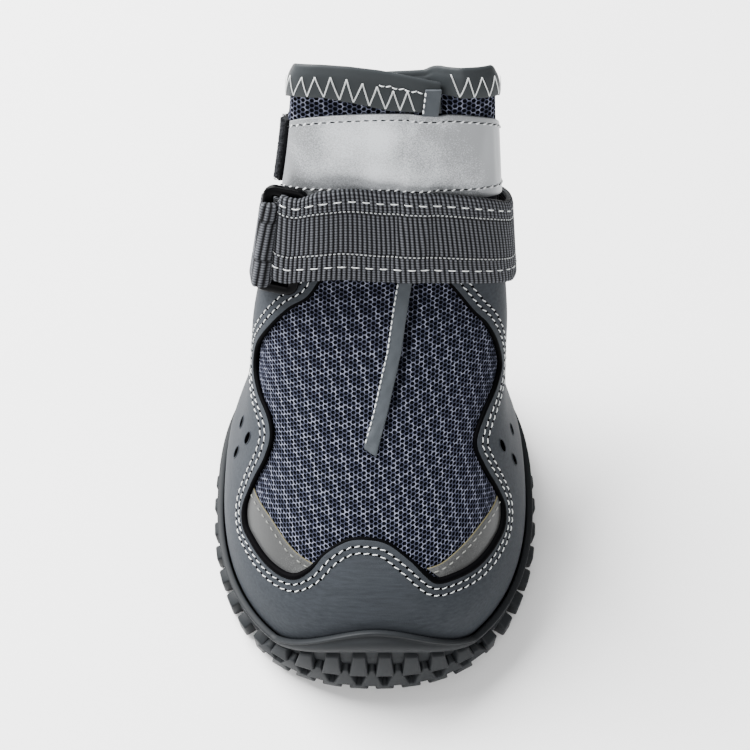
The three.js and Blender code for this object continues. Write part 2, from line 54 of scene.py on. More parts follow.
# ---------------------------------------------------------------- the last
# one row a section, from the feather line to the collar, in millimetres: front point y and z, back point
# y and z, half width, share of the length at the widest place, roundness in front and behind, shift sideways
LAST = np.array([
    (-41.0, 7.0, 41.5, 7.0, 32.8, 0.52, 2.30, 2.50, 0.0),
    (-43.0, 13.5, 42.8, 12.0, 34.2, 0.52, 2.30, 2.50, 0.0),
    (-41.2, 22.5, 43.4, 17.5, 33.6, 0.52, 2.30, 2.50, 0.0),
    (-36.0, 30.0, 43.6, 22.5, 32.0, 0.51, 2.25, 2.45, 0.0),
    (-27.8, 36.5, 43.8, 27.5, 30.0, 0.50, 2.20, 2.40, 0.1),
    (-17.0, 43.0, 44.0, 32.5, 28.4, 0.48, 2.15, 2.35, 0.3),
    (-5.0, 50.3, 44.2, 38.0, 27.7, 0.45, 2.15, 2.30, 0.7),
    (7.5, 59.8, 44.5, 44.5, 27.3, 0.42, 2.20, 2.30, 1.2),
    (17.0, 69.2, 45.0, 52.5, 25.9, 0.38, 2.35, 2.30, 1.8),
    (22.5, 78.5, 45.7, 62.0, 24.7, 0.35, 2.50, 2.30, 2.4),
    (27.5, 89.0, 46.4, 74.0, 23.4, 0.35, 2.60, 2.30, 3.0),
    (32.6, 102.5, 47.0, 91.5, 21.7, 0.38, 2.60, 2.30, 3.5),
    (37.6, 118.0, 47.8, 109.5, 20.4, 0.42, 2.60, 2.40, 3.8),
])
TOP = len(LAST) - 1
SLIT = np.array([(5.5, 0.004), (6.2, -0.010), (7.0, -0.024), (8.2, -0.035), (10.2, -0.049), (12.0, -0.074)])
# mudguard edge: over the toe (share round, station), then up each quarter (station, share round)
CREST = np.array([
    (-0.1151, 2.905), (-0.0857, 2.99), (-0.066, 3.076), (-0.0538, 3.32), (-0.0383, 3.667), (-0.0153, 4.02),
    (0.0084, 4.118), (0.032, 4.06), (0.0545, 3.749), (0.0723, 3.26), (0.091, 2.926), (0.1169, 2.832)])
WING_RING = np.array([
    (2.832, 0.1169), (2.88, 0.1458), (2.95, 0.163), (3.352, 0.1717), (4.10, 0.1654), (4.833, 0.1508),
    (5.306, 0.1458), (5.617, 0.1565), (5.845, 0.1847), (6.14, 0.2074), (6.59, 0.2009), (7.085, 0.1686),
    (7.603, 0.1298), (7.888, 0.101), (8.3, 0.085)])
WING_FAR = np.array([
    (2.905, 0.1151), (2.937, 0.1434), (3.042, 0.1602), (3.436, 0.1681), (4.039, 0.1608), (4.724, 0.1444),
    (5.191, 0.1333), (5.446, 0.1365), (5.749, 0.155), (6.032, 0.1845), (6.273, 0.1987), (6.765, 0.1798),
    (7.268, 0.151), (7.624, 0.1226), (8.3, 0.083)])
# collar: share round from the slit's left lip, station of the rim and of the binding's hem
RIM = np.array([
    (0, 11.68), (0.0485, 11.77), (0.095, 11.85), (0.1415, 11.90), (0.19, 11.92), (0.31, 11.92), (0.42, 11.72),
    (0.5, 11.66), (0.62, 11.66), (0.75, 11.8), (0.87, 11.90), (0.93, 11.88), (1.0, 11.87)])
HEM = np.array([
    (0, 11.37), (0.027, 11.385), (0.08, 11.415), (0.134, 11.52), (0.18, 11.585),
    (0.278, 11.565), (0.42, 11.4),
    (0.6, 11.36), (0.75, 11.45), (0.87, 11.565), (0.93, 11.571), (1.0, 11.574)])
WALL = 2.0        # the knitted shell
FLAP_DROP = 2.4   # how far the right flap lies below the left one
SLIT_FOOT = 5.6   # station of the slit's lower end


def smooth(x):
    """Eased step: 3x^2 - 2x^3 between 0 and 1."""
    t = np.clip(x, 0, 1)
    return t * t * (3 - 2 * t)


def bell(x, width):
    """exp(-(x/width)^2), a soft ridge."""
    return np.exp(-((x / width) ** 2))


def catmull(table, at):
    """Catmull-Rom curve through a table's rows at the row numbers in at, its ends carried on straight."""
    table, at = np.asarray(table, float), np.asarray(at, float)
    pts = np.vstack([2 * table[0] - table[1], table, 2 * table[-1] - table[-2]])
    i = np.clip(np.floor(at).astype(int), 0, len(table) - 2)
    t = (at - i)[..., None]
    p0, p1, p2, p3 = (pts[i + k] for k in range(4))
    return 0.5 * (2 * p1 + (p2 - p0) * t + (2 * p0 - 5 * p1 + 4 * p2 - p3) * t ** 2
                  + (3 * p1 - p0 - 3 * p2 + p3) * t ** 3)


def dense(table, count):
    """count points along the curve through a table's rows."""
    return catmull(table, np.linspace(0, len(table) - 1 - 1e-9, count))


def skin(u, v):
    """Point of the last at share u of the way round (0 the toe, .25 the ring side) and station v.

    Each section is the superellipse r = (|cos|^n + |sin|^n)^(-1/n), stretched to the half width
    sideways and to the front and back points along its own tilted line."""
    u, v = np.broadcast_arrays(np.asarray(u, float), np.asarray(v, float))
    yf, zf, yb, zb, half, widest, nf, nb, shift = np.moveaxis(catmull(LAST, v), -1, 0)
    c, s = np.cos(2 * np.pi * u), np.sin(2 * np.pi * u)
    n = nf + (nb - nf) * (0.5 - 0.5 * c)
    r = (np.abs(c) ** n + np.abs(s) ** n) ** (-1 / n)
    along = (1 - widest) + r * c * np.where(c > 0, widest, 1 - widest)
    return np.stack([-r * s * half + shift, yb + (yf - yb) * along, zb + (zf - zb) * along], -1)


def unit(a):
    return a / np.maximum(np.linalg.norm(a, axis=-1, keepdims=True), 1e-9)


def tangents(u, v, e=1e-3):
    """Central differences of skin along v and u, a whole station and a whole turn long."""
    return (skin(u, v + e) - skin(u, v - e)) / (2 * e), (skin(u + e, v) - skin(u - e, v)) / (2 * e)


def out(u, v, offset):
    """skin moved along its outward normal."""
    u, v, offset = np.broadcast_arrays(*(np.asarray(x, float) for x in (u, v, offset)))
    up, round_ = tangents(u, v)
    return skin(u, v) + unit(np.cross(up, round_)) * offset[..., None]


def slit_u(v):
    return np.interp(v, SLIT[:, 0], SLIT[:, 1])


def wrap(u):
    """Share round brought to -0.5..0.5."""
    return u - np.round(u)


def turn_mm(v):
    """Millimetres a whole turn is worth at the front of station v."""
    return np.linalg.norm(tangents(0 * np.asarray(v, float), v)[1], axis=-1)


def from_slit(u):
    """Share of a turn from the slit's left lip, round by the ring side."""
    return np.mod(u - slit_u(TOP), 1.0)


def collar_top(u):
    """Station of the collar's rim: it falls toward the slit where the left flap laps over the right."""
    return np.interp(from_slit(u), RIM[:, 0], RIM[:, 1])


def strip_bump(u, v, half=1.3):
    """1 over the slit's edging, easing to 0 on both sides of it."""
    mm = (wrap(u) - slit_u(v)) * turn_mm(v) - half
    return 1 - smooth((np.abs(mm) - half - 0.2) / 2.5)


def flap_sink(mm, v):
    """Drop of the right flap mm short of the slit's lip, easing in over 2.8 mm and above the slit's foot."""
    return FLAP_DROP * smooth((3.6 - mm) / 2.8) * smooth((v - SLIT_FOOT) / 1.3)


def strap_drop(u):
    """How many stations the strap and what lies under it sink on the way round to the sides."""
    return 8.5 * np.minimum(np.abs(wrap(u)), 0.2) ** 2


# ---------------------------------------------------------------- meshes
def colour(hexa):
    """sRGB hex to linear RGBA."""
    rgb = np.array([int(hexa[i:i + 2], 16) for i in (1, 3, 5)]) / 255
    lin = np.where(rgb <= 0.04045, rgb / 12.92, ((rgb + 0.055) / 1.055) ** 2.4)
    return (*lin.tolist(), 1.0)


def grid_faces(rows, cols, wrap_rows=False, wrap_cols=False):
    """Quads over a rows x cols grid of points, closed round on either way."""
    i = np.arange(rows if wrap_rows else rows - 1)[:, None]
    j = np.arange(cols if wrap_cols else cols - 1)[None, :]
    a, b = i * cols, ((i + 1) % rows) * cols
    j2 = (j + 1) % cols
    return np.stack([a + j, b + j, b + j2, a + j2], -1).reshape(-1, 4)


def shell_faces(rows, cols):
    """Faces of a closed shell between two grids of points, the second numbered after the first."""
    n = rows * cols
    face = grid_faces(rows, cols)
    edge = np.concatenate([np.arange(cols), np.arange(1, rows) * cols + cols - 1,
                           (rows - 1) * cols + np.arange(cols - 2, -1, -1),
                           np.arange(rows - 2, 0, -1) * cols])
    after = np.roll(edge, -1)
    return np.vstack([face, face[:, ::-1] + n, np.stack([edge, after, after + n, edge + n], -1)])


class Parts:
    """Gathers grids of points into one mesh: points, quads, triangles and a cloth chart in mm."""

    def __init__(self):
        self.co, self.quads, self.tris, self.chart, self.count = [], [], [], [], 0

    def add(self, points, quads=None, tris=None, chart=None):
        points = points.reshape(-1, 3)
        for store, faces in ((self.quads, quads), (self.tris, tris)):
            if faces is not None and len(faces):
                store.append(np.asarray(faces) + self.count)
        self.co.append(points)
        self.chart.append(np.zeros((len(points), 3)) if chart is None else chart.reshape(-1, 3))
        self.count += len(points)
        return self

    def loft(self, rings):
        """Carries a closed loop of points (second axis) round a closed path (first axis)."""
        k, p = rings.shape[:2]
        return self.add(rings, grid_faces(k, p, wrap_rows=True, wrap_cols=True))

    def mesh(self, name, weld=0.0):
        co = (np.concatenate(self.co) - (0, ORIGIN_Y, 0)) * MM
        quads = np.concatenate(self.quads) if self.quads else np.zeros((0, 4), int)
        tris = np.concatenate(self.tris) if self.tris else np.zeros((0, 3), int)
        me = bpy.data.meshes.new(name)
        me.vertices.add(len(co))
        me.vertices.foreach_set("co", co.ravel())
        loops = np.concatenate([quads.ravel(), tris.ravel()]).astype(np.int32)
        me.loops.add(len(loops))
        me.loops.foreach_set("vertex_index", loops)
        starts = np.concatenate([np.arange(len(quads)) * 4, len(quads) * 4 + np.arange(len(tris)) * 3])
        me.polygons.add(len(starts))
        me.polygons.foreach_set("loop_start", starts.astype(np.int32))
        me.update(calc_edges=True)
        layer = me.attributes.new("chart", "FLOAT_VECTOR", "POINT")
        layer.data.foreach_set("vector", np.concatenate(self.chart).ravel())
        me.validate()
        bm = bmesh.new()
        bm.from_mesh(me)
        if weld:
            bmesh.ops.remove_doubles(bm, verts=bm.verts, dist=weld * MM)
        bmesh.ops.recalc_face_normals(bm, faces=bm.faces)
        bm.to_mesh(me)
        bm.free()
        me.polygons.foreach_set("use_smooth", np.full(len(me.polygons), True))
        me.update()
        obj = bpy.data.objects.new(name, me)
        bpy.context.scene.collection.objects.link(obj)
        return obj


def finish_piece(obj, material, replaces=(), bevel=0.0, angle=40):
    """Gives a finished mesh its material, its modifiers and its place in the frame's table."""
    obj.data.materials.append(material)
    if bevel:
        m = obj.modifiers.new("soft edges", "BEVEL")
        m.width, m.segments, m.limit_method, m.angle_limit = bevel * MM, 2, "ANGLE", math.radians(angle)
        m.harden_normals = False
    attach(obj, "root")
    if replaces:
        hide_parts(*replaces)
    return obj


def tubes(paths, radius, up, sides=6, flat=1.0):
    """Round bars along many paths (k, n, 3): a ring of points about each path point, ends closed.

    radius is (n,) or a number; up (k, n, 3) is the way the section's second axis points, scaled by flat."""
    k, n = paths.shape[:2]
    t = unit(np.gradient(paths, axis=1))
    side = unit(np.cross(t, up))
    lift = np.cross(side, t)
    a = np.arange(sides) / sides * 2 * np.pi
    r = np.broadcast_to(np.asarray(radius, float), (k, n))[..., None, None]
    ring = paths[:, :, None] + r * (np.cos(a)[:, None] * side[:, :, None]
                                    + flat * np.sin(a)[:, None] * lift[:, :, None])
    per = n * sides
    base = (np.arange(k) * per)[:, None, None]
    one = grid_faces(n, sides, wrap_cols=True)
    quads = (base + one[None]).reshape(-1, 4)
    i = np.arange(1, sides - 1)
    fan = np.stack([0 * i, i, i + 1], -1)
    tris = np.concatenate([(base + fan[None]).reshape(-1, 3),
                           (base + (n - 1) * sides + fan[None, :, ::-1]).reshape(-1, 3)])
    return ring.reshape(-1, 3), quads, tris


def arc_length(points):
    return np.concatenate([[0], np.cumsum(np.linalg.norm(np.diff(points, axis=0), axis=1))])


STITCH_TAPER = np.array([0.55, 0.9, 1, 1.05, 1, 0.9, 0.55])


def stitch_arch(x, lift, radius):
    """Height along a stitch, x from -.5 to .5: (1 - |2x|^3)(lift + radius), sunk by most of the radius."""
    return np.maximum(1 - (2 * np.abs(x)) ** 3, 0) * (lift + radius) - radius * 0.9


def stitch_line(parts, u, v, offset, pitch, length, radius, lift=0.22, skew=0.0, jitter=0.0, seed=1):
    """Thread stitches along a line (u, v) on the last: every pitch mm a short bar of the given length
    that rises out of the cloth, arches over it by lift and dips back in. skew turns it off the line."""
    offset = np.broadcast_to(np.asarray(offset, float), np.shape(u))
    s = arc_length(out(u, v, offset))
    count = max(int(s[-1] // pitch), 1)
    rng = np.random.default_rng(seed)
    start = (np.arange(count) + 0.5) * s[-1] / count + rng.normal(0, jitter, count)
    x = np.linspace(-0.5, 0.5, 7)
    at = start[:, None] + x[None] * length * (1 + rng.normal(0, 0.5 * jitter, count))[:, None]
    uu, vv, oo = (np.interp(at, s, w) for w in (u, v, offset))
    p = out(uu, vv, oo + stitch_arch(x, lift, radius)[None])
    up_, round_ = tangents(uu, vv)
    normal = unit(np.cross(up_, round_))
    if skew:
        p = p + np.cross(normal, unit(np.gradient(p, axis=1))) * (x * skew)[None, :, None]
    return parts.add(*tubes(p, radius * STITCH_TAPER, normal))


def chain_line(parts, points, normals, pitch, length, radius, lift=0.2):
    """Stitches along a line already worked out in space."""
    s = arc_length(points)
    count = max(int(s[-1] // pitch), 1)
    start = (np.arange(count) + 0.5) * s[-1] / count
    x = np.linspace(-0.5, 0.5, 7)
    at = start[:, None] + x[None] * length
    p = np.stack([np.interp(at, s, points[:, k]) for k in range(3)], -1)
    n = unit(np.stack([np.interp(at, s, normals[:, k]) for k in range(3)], -1))
    p = p + n * stitch_arch(x, lift, radius)[None, :, None]
    return parts.add(*tubes(p, radius * STITCH_TAPER, n))


def evenly(points, pitch):
    """Places at about every pitch along a line, both ends included, and the line's own distances."""
    lengths = arc_length(points)
    count = int(lengths[-1] // pitch)
    return np.arange(count + 1) * lengths[-1] / count, lengths


def slide(u, v, mm):
    """The line (u, v) moved sideways over the last by mm, to the left of its own direction.

    The step across is split into small ones, each solved in the two tangents of the surface."""
    u, v = np.array(u, float), np.array(v, float)
    steps = max(int(np.ceil(np.max(np.abs(mm)) / 0.7)), 1)
    for _ in range(steps):
        p = skin(u, v)
        up, round_ = tangents(u, v)
        n = unit(np.cross(up, round_))
        across = np.cross(n, unit(np.gradient(p, axis=0))) * (np.asarray(mm) / steps)[..., None]
        a, b, c = (round_ * round_).sum(-1), (round_ * up).sum(-1), (up * up).sum(-1)
        d, e = (round_ * across).sum(-1), (up * across).sum(-1)
        det = a * c - b * b
        u, v = u + (d * c - e * b) / det, v + (a * e - b * d) / det
    return u, v


def curve_through(rows, count):
    """Points spread evenly along the curve through the rows."""
    c = dense(rows, 40 * len(rows))
    s = arc_length(skin(c[:, 0], c[:, 1]))
    at = np.linspace(0, s[-1], count)
    return np.interp(at, s, c[:, 0]), np.interp(at, s, c[:, 1])


# ---------------------------------------------------------------- materials
def node(tree, kind, links=None, **settings):
    """Adds a node, sets its sockets and attributes and links its inputs."""
    n = tree.nodes.new(kind)
    for key, value in settings.items():
        if hasattr(n, key):
            setattr(n, key, value)
        else:
            n.inputs[int(key[1:]) if key[1:].isdigit() else key.replace("_", " ")].default_value = value
    for socket, source in (links or {}).items():
        tree.links.new(source, n.inputs[socket])
    return n


def base_material(name, **shader):
    """A named material holding one principled shader with the given sockets."""
    mat = bpy.data.materials.get(name) or bpy.data.materials.new(name)
    mat.use_nodes = True
    tree = mat.node_tree
    tree.nodes.clear()
    surface = node(tree, "ShaderNodeBsdfPrincipled", **shader)
    node(tree, "ShaderNodeOutputMaterial", {"Surface": surface.outputs[0]})
    return mat, tree, surface


def ramp(tree, fac, stops):
    """Colour ramp over fac with (place, hex or grey) stops."""
    n = node(tree, "ShaderNodeValToRGB", {"Fac": fac})
    for i, (at, value) in enumerate(stops):
        e = n.color_ramp.elements[i] if i < 2 else n.color_ramp.elements.new(at)
        e.position = at
        e.color = colour(value) if isinstance(value, str) else (value, value, value, 1)
    return n.outputs[0]


def object_noise(tree, scale, detail=3.0, stretch=(1, 1, 1)):
    """Noise in the object's own metres, each axis squeezed or drawn out by stretch."""
    at = node(tree, "ShaderNodeTexCoord").outputs["Object"]
    moved = node(tree, "ShaderNodeMapping", {"Vector": at}, Scale=stretch)
    return node(tree, "ShaderNodeTexNoise", {"Vector": moved.outputs[0]}, Scale=scale, Detail=detail,
                Roughness=0.6).outputs["Fac"]


def bumped(tree, surface, height, strength, distance):
    """Sends a height through a bump into the shader's normal."""
    b = node(tree, "ShaderNodeBump", {"Height": height}, Strength=strength, Distance=distance * MM)
    tree.links.new(b.outputs[0], surface.inputs["Normal"])


def plain_material(name, hexa, roughness, grain=0.0, scale=2500, distance=0.05, mottle=0.0,
                   stretch=(1, 1, 1), **shader):
    """One colour with a light mottle and a fine grain; scale is in grains a metre."""
    mat, tree, surface = base_material(name, Roughness=roughness, **{"Specular_IOR_Level": 0.12, **shader})
    noise = object_noise(tree, scale, stretch=stretch)
    if mottle:
        dark = tuple(c * (1 - mottle) for c in colour(hexa)[:3]) + (1,)
        mix = node(tree, "ShaderNodeMix", {0: object_noise(tree, 90)}, data_type="RGBA", _6=dark,
                   _7=tuple(min(c * (1 + mottle), 1) for c in colour(hexa)[:3]) + (1,))
        tree.links.new(mix.outputs[2], surface.inputs["Base Color"])
    else:
        surface.inputs["Base Color"].default_value = colour(hexa)
    if grain:
        bumped(tree, surface, noise, grain, distance)
    return mat


def net_material(name, thread, bright, hollow, hollow_to=0.36):
    """Knitted net: the chart's third number is the height on the thread, 0 in a hole and 1 on a crest.

    Reads as pale yarn crests over near-black eyes."""
    mat, tree, surface = base_material(name, Roughness=0.72, Specular_IOR_Level=0.06)
    chart = node(tree, "ShaderNodeAttribute", attribute_name="chart")
    parts = node(tree, "ShaderNodeSeparateXYZ", {"Vector": chart.outputs["Vector"]})
    # noise lifts the crests at random into painted glints
    mix = node(tree, "ShaderNodeMath", {0: parts.outputs[2],
                                        1: object_noise(tree, 1500, 2.0)}, operation="MULTIPLY_ADD")
    tree.links.new(parts.outputs[2], mix.inputs[2])
    # painted light: near-black painted shade in the eyes and on their lips, the thread colour on the flanks,
    # the bright colour as painted highlight on the crests and on the brighter yarns' real scales
    low = ramp(tree, node(tree, "ShaderNodeMath", {0: mix.outputs[0]}, operation="MULTIPLY",
                          _1=0.62).outputs[0],
               [(0.05, hollow), (hollow_to, hollow), (0.62, thread), (0.98, bright)])
    tree.links.new(low, surface.inputs["Base Color"])
    bumped(tree, surface, object_noise(tree, 5200, 2.0), 0.35, 0.06)
    return mat


def webbing_material(name, hexa, tip_highlight, groove, bead=0.62):
    """Woven webbing: the chart's third number is 0 between two ribs and 1 on a rib; beads part each rib."""
    mat, tree, surface = base_material(name, Roughness=0.7, Specular_IOR_Level=0.1)
    chart = node(tree, "ShaderNodeAttribute", attribute_name="chart")
    parts = node(tree, "ShaderNodeSeparateXYZ", {"Vector": chart.outputs["Vector"]})
    turns = node(tree, "ShaderNodeMath", {0: parts.outputs[1]}, operation="MULTIPLY", _1=math.pi / bead)
    wave = node(tree, "ShaderNodeMath", {0: turns.outputs[0]}, operation="SINE")
    beads = node(tree, "ShaderNodeMath", {0: wave.outputs[0]}, operation="ABSOLUTE")
    soft = node(tree, "ShaderNodeMath", {0: beads.outputs[0]}, operation="MULTIPLY_ADD", _1=0.55, _2=0.45)
    shade = node(tree, "ShaderNodeMath", {0: parts.outputs[2], 1: soft.outputs[0]}, operation="MULTIPLY")
    # painted shade in the grooves up to a painted highlight on the tops of the ribs and beads
    ribs = ramp(tree, shade.outputs[0], [(0.16, groove), (0.42, hexa), (0.95, tip_highlight)])
    tree.links.new(ribs, surface.inputs["Base Color"])
    bumped(tree, surface, shade.outputs[0], 0.8, 0.25)
    return mat


def reflective_material(name, hexa, metallic, roughness):
    """Glass-beaded reflective cloth: a soft metallic sheen broken by fine sparkle."""
    mat, tree, surface = base_material(name, Metallic=metallic, Roughness=roughness)
    # painted glints: fine noise that brightens the colour in specks, also used as the bump
    sparkle = object_noise(tree, 3800, 1.0)
    base = colour(hexa)[:3]
    # blotchy painted highlights, with the painted glints added in
    highlight_blotches = node(tree, "ShaderNodeMath", {0: object_noise(tree, 70, 2.0), 2: sparkle},
                  operation="MULTIPLY_ADD", _1=1.4)
    # painted highlight down the middle of the object's width, painted shade toward both sides: the colour
    # darkens with distance from the middle
    side = node(tree, "ShaderNodeSeparateXYZ", {"Vector": node(tree, "ShaderNodeTexCoord").outputs["Object"]})
    away = node(tree, "ShaderNodeMath", {0: side.outputs[0]}, operation="ABSOLUTE")
    painted_falloff = node(tree, "ShaderNodeMath", {0: away.outputs[0], 2: highlight_blotches.outputs[0]}, operation="MULTIPLY_ADD",
                _1=-0.04 / MM)
    shade = node(tree, "ShaderNodeMath", {0: painted_falloff.outputs[0]}, operation="MULTIPLY_ADD", _1=1.5, _2=-0.85,
                 use_clamp=True)
    # half to one and a half times the base colour: the painted shade's dark end and the painted highlight's
    # bright end
    mix = node(tree, "ShaderNodeMix", {0: shade.outputs[0]}, data_type="RGBA",
               _6=tuple(c * 0.5 for c in base) + (1,), _7=tuple(min(c * 1.5, 1) for c in base) + (1,))
    tree.links.new(mix.outputs[2], surface.inputs["Base Color"])
    bumped(tree, surface, sparkle, 0.25, 0.04)
    return mat


def overlay_material(name, hexa):
    """Coated synthetic leather: satin, with a fine grain brushed along the foot's width."""
    mat, tree, surface = base_material(name, Roughness=0.62, Specular_IOR_Level=0.04)
    base = colour(hexa)[:3]
    grain = object_noise(tree, 1500, 4.0, stretch=(0.12, 1, 1))
    mix = node(tree, "ShaderNodeMix", {0: grain}, data_type="RGBA",
               _6=tuple(c * 0.6 for c in base) + (1,), _7=tuple(c * 1.4 for c in base) + (1,))
    tree.links.new(mix.outputs[2], surface.inputs["Base Color"])
    pores = object_noise(tree, 2600, 2.0)
    both = node(tree, "ShaderNodeMath", {0: grain, 1: pores}, operation="ADD")
    bumped(tree, surface, both.outputs[0], 0.35, 0.09)
    return mat


def rubber_material(name, hexa):
    """Matt moulded rubber with a faint dusty bloom."""
    return plain_material(name, hexa, 0.5, grain=0.25, scale=3000, distance=0.04, mottle=0.12,
                          Specular_IOR_Level=0.1)


# ---------------------------------------------------------------- sheets
OVERLAY, OVERLAY_IN = 0.85, 0.66
OVERLAY_TOP = OVERLAY_IN + OVERLAY


def sheet_piece(name, grids, thickness, material, replaces=(), bevel=0.0, weld=0.03):
    """Middle surfaces (rows, columns, 3) welded into one sheet, then given an even thickness."""
    parts = Parts()
    for g in grids:
        parts.add(g, grid_faces(g.shape[0], g.shape[1]))
    obj = parts.mesh(name, weld=weld)
    m = obj.modifiers.new("thickness", "SOLIDIFY")
    m.thickness, m.offset, m.use_rim = thickness * MM, 0.0, True
    return finish_piece(obj, material, replaces, bevel=bevel)


def edge_line(count=900):
    """The mudguard's edge, from under the strap on the ring side down over the toe and up the other side."""
    left = [(u, v) for v, u in WING_RING[::-1]]
    over = [(u, v) for u, v in CREST[::-1][1:-1]]
    right = [(-u, v) for v, u in WING_FAR]
    return curve_through(left + over + right, count)


# ---------------------------------------------------------------- the upper
def build_upper(s):
    """Dark knitted shell with its slit: out(u, v, -drop - wall) for both faces, u = slit + share.

    Past a whole turn the share runs on under the left flap; drop is flap_sink."""
    v = np.concatenate([np.linspace(0, 5.5, 34), np.linspace(5.62, 11.3, 54), [12.0]])
    a = np.concatenate([np.linspace(0, 0.9, 120), np.linspace(0.905, 0.999, 26)])
    under = np.array([0.015, 0.03, 0.045, 0.06, 0.075, 0.085])
    vv, aa = np.meshgrid(v, np.concatenate([a, 1 + under]), indexing="ij")
    grow = smooth((vv - SLIT_FOOT) / 1.4)
    share = np.where(aa > 1, 1 + (aa - 1) * grow, aa)
    # below the slit the last column meets the first
    u = slit_u(vv) + share * np.where(vv < SLIT_FOOT, 1.0 / 0.999, 1)
    rim = np.where(share > 1.0, 11.5, binding_low(u) + 0.06)
    vv = np.where(vv >= 12, rim, vv)
    mm = (1 - np.minimum(share, 1)) * turn_mm(vv)
    drop = flap_sink(mm, vv)
    wall = WALL - 0.9 * drop / FLAP_DROP
    outer, inner = out(u, vv, -0.1 - drop), out(u, vv, -drop - wall)
    both = np.concatenate([outer.reshape(-1, 3), inner.reshape(-1, 3)])
    obj = Parts().add(both, shell_faces(*vv.shape)).mesh("upper_lining")
    lining = plain_material("dark knitted lining", "#12131b", 0.9, grain=0.4, scale=2200)
    finish_piece(obj, lining, ["upper"])


def net_chart(v, u):
    """Millimetres round each station v of the grid, measured on the last from the toe's centre line."""
    vv, uu = np.meshgrid(v, u, indexing="ij")
    p = skin(uu, vv)
    step = np.linalg.norm(np.diff(p, axis=1), axis=-1)
    s = np.concatenate([np.zeros((len(v), 1)), np.cumsum(step, 1)], 1)
    middle = np.argmin(np.abs(u))
    return s - s[:, middle:middle + 1]


def net_cells(v_low, v_high, u_max, pitch, keep):
    """Centres and corners (u, v) of a hexagonal net of the given pitch in cloth millimetres.

    The cloth's t runs up the front from v_low, its s round the last at a fixed station; keep(u, v)
    says which holes are shown."""
    v = np.linspace(v_low, v_high, 90)
    u = np.linspace(-u_max, u_max, 361)
    s_of = net_chart(v, u)
    t_of = arc_length(skin(0 * v, v))
    half = np.max(np.abs(s_of))
    a, b = pitch * math.sqrt(3) / 2, pitch
    i = np.arange(-int(half / a), int(half / a) + 1)
    j = np.arange(0, int(t_of[-1] / b) + 1)
    ii, jj = np.meshgrid(i, j, indexing="ij")
    s, t = ii * a, (jj + 0.5 * (ii % 2)) * b
    s, t = s.ravel(), t.ravel()

    def to_uv(s, t):
        vv = np.interp(t, t_of, v)
        k = np.clip((vv - v_low) / (v_high - v_low) * (len(v) - 1), 0, len(v) - 1.001)
        k0 = k.astype(int)
        f = k - k0
        flat = s_of + np.arange(len(v))[:, None] * 1000.0
        grid = (flat.ravel(), np.tile(u, len(v)))
        lo = np.interp(np.clip(s, s_of[k0, 0], s_of[k0, -1]) + k0 * 1000.0, *grid)
        hi = np.interp(np.clip(s, s_of[k0 + 1, 0], s_of[k0 + 1, -1]) + (k0 + 1) * 1000.0, *grid)
        return lo * (1 - f) + hi * f, vv

    cu, cv = to_uv(s, t)
    ok = keep(cu, cv) & (t < t_of[-1] - b)
    s, t, cu, cv = s[ok], t[ok], cu[ok], cv[ok]
    angle = np.arange(6) * np.pi / 3
    corner = pitch / math.sqrt(3)
    return s, t, cu, cv, to_uv, np.cos(angle) * corner, np.sin(angle) * corner


def scale_lines(s, t, width=4.0, height=3.9):
    """1 on the brighter yarns that draw large scales over the net, 0 between them.

    One family leans with t; the other runs round the foot in waves, and drops away left of the slit."""
    left = np.sqrt(np.minimum(s - 2, 0) ** 2 + 9) - 3
    a = (s - 0.42 * (t - 22) - 0.25 * left) / width
    b = (t + 0.12 * s - 0.55 * left) / height + 0.10 * np.sin(2 * np.pi * a)
    near_a, near_b = np.abs(a - np.round(a)) * width, np.abs(b - np.round(b)) * height
    return np.maximum(bell(near_a, 0.42), 0.85 * bell(near_b, 0.42))


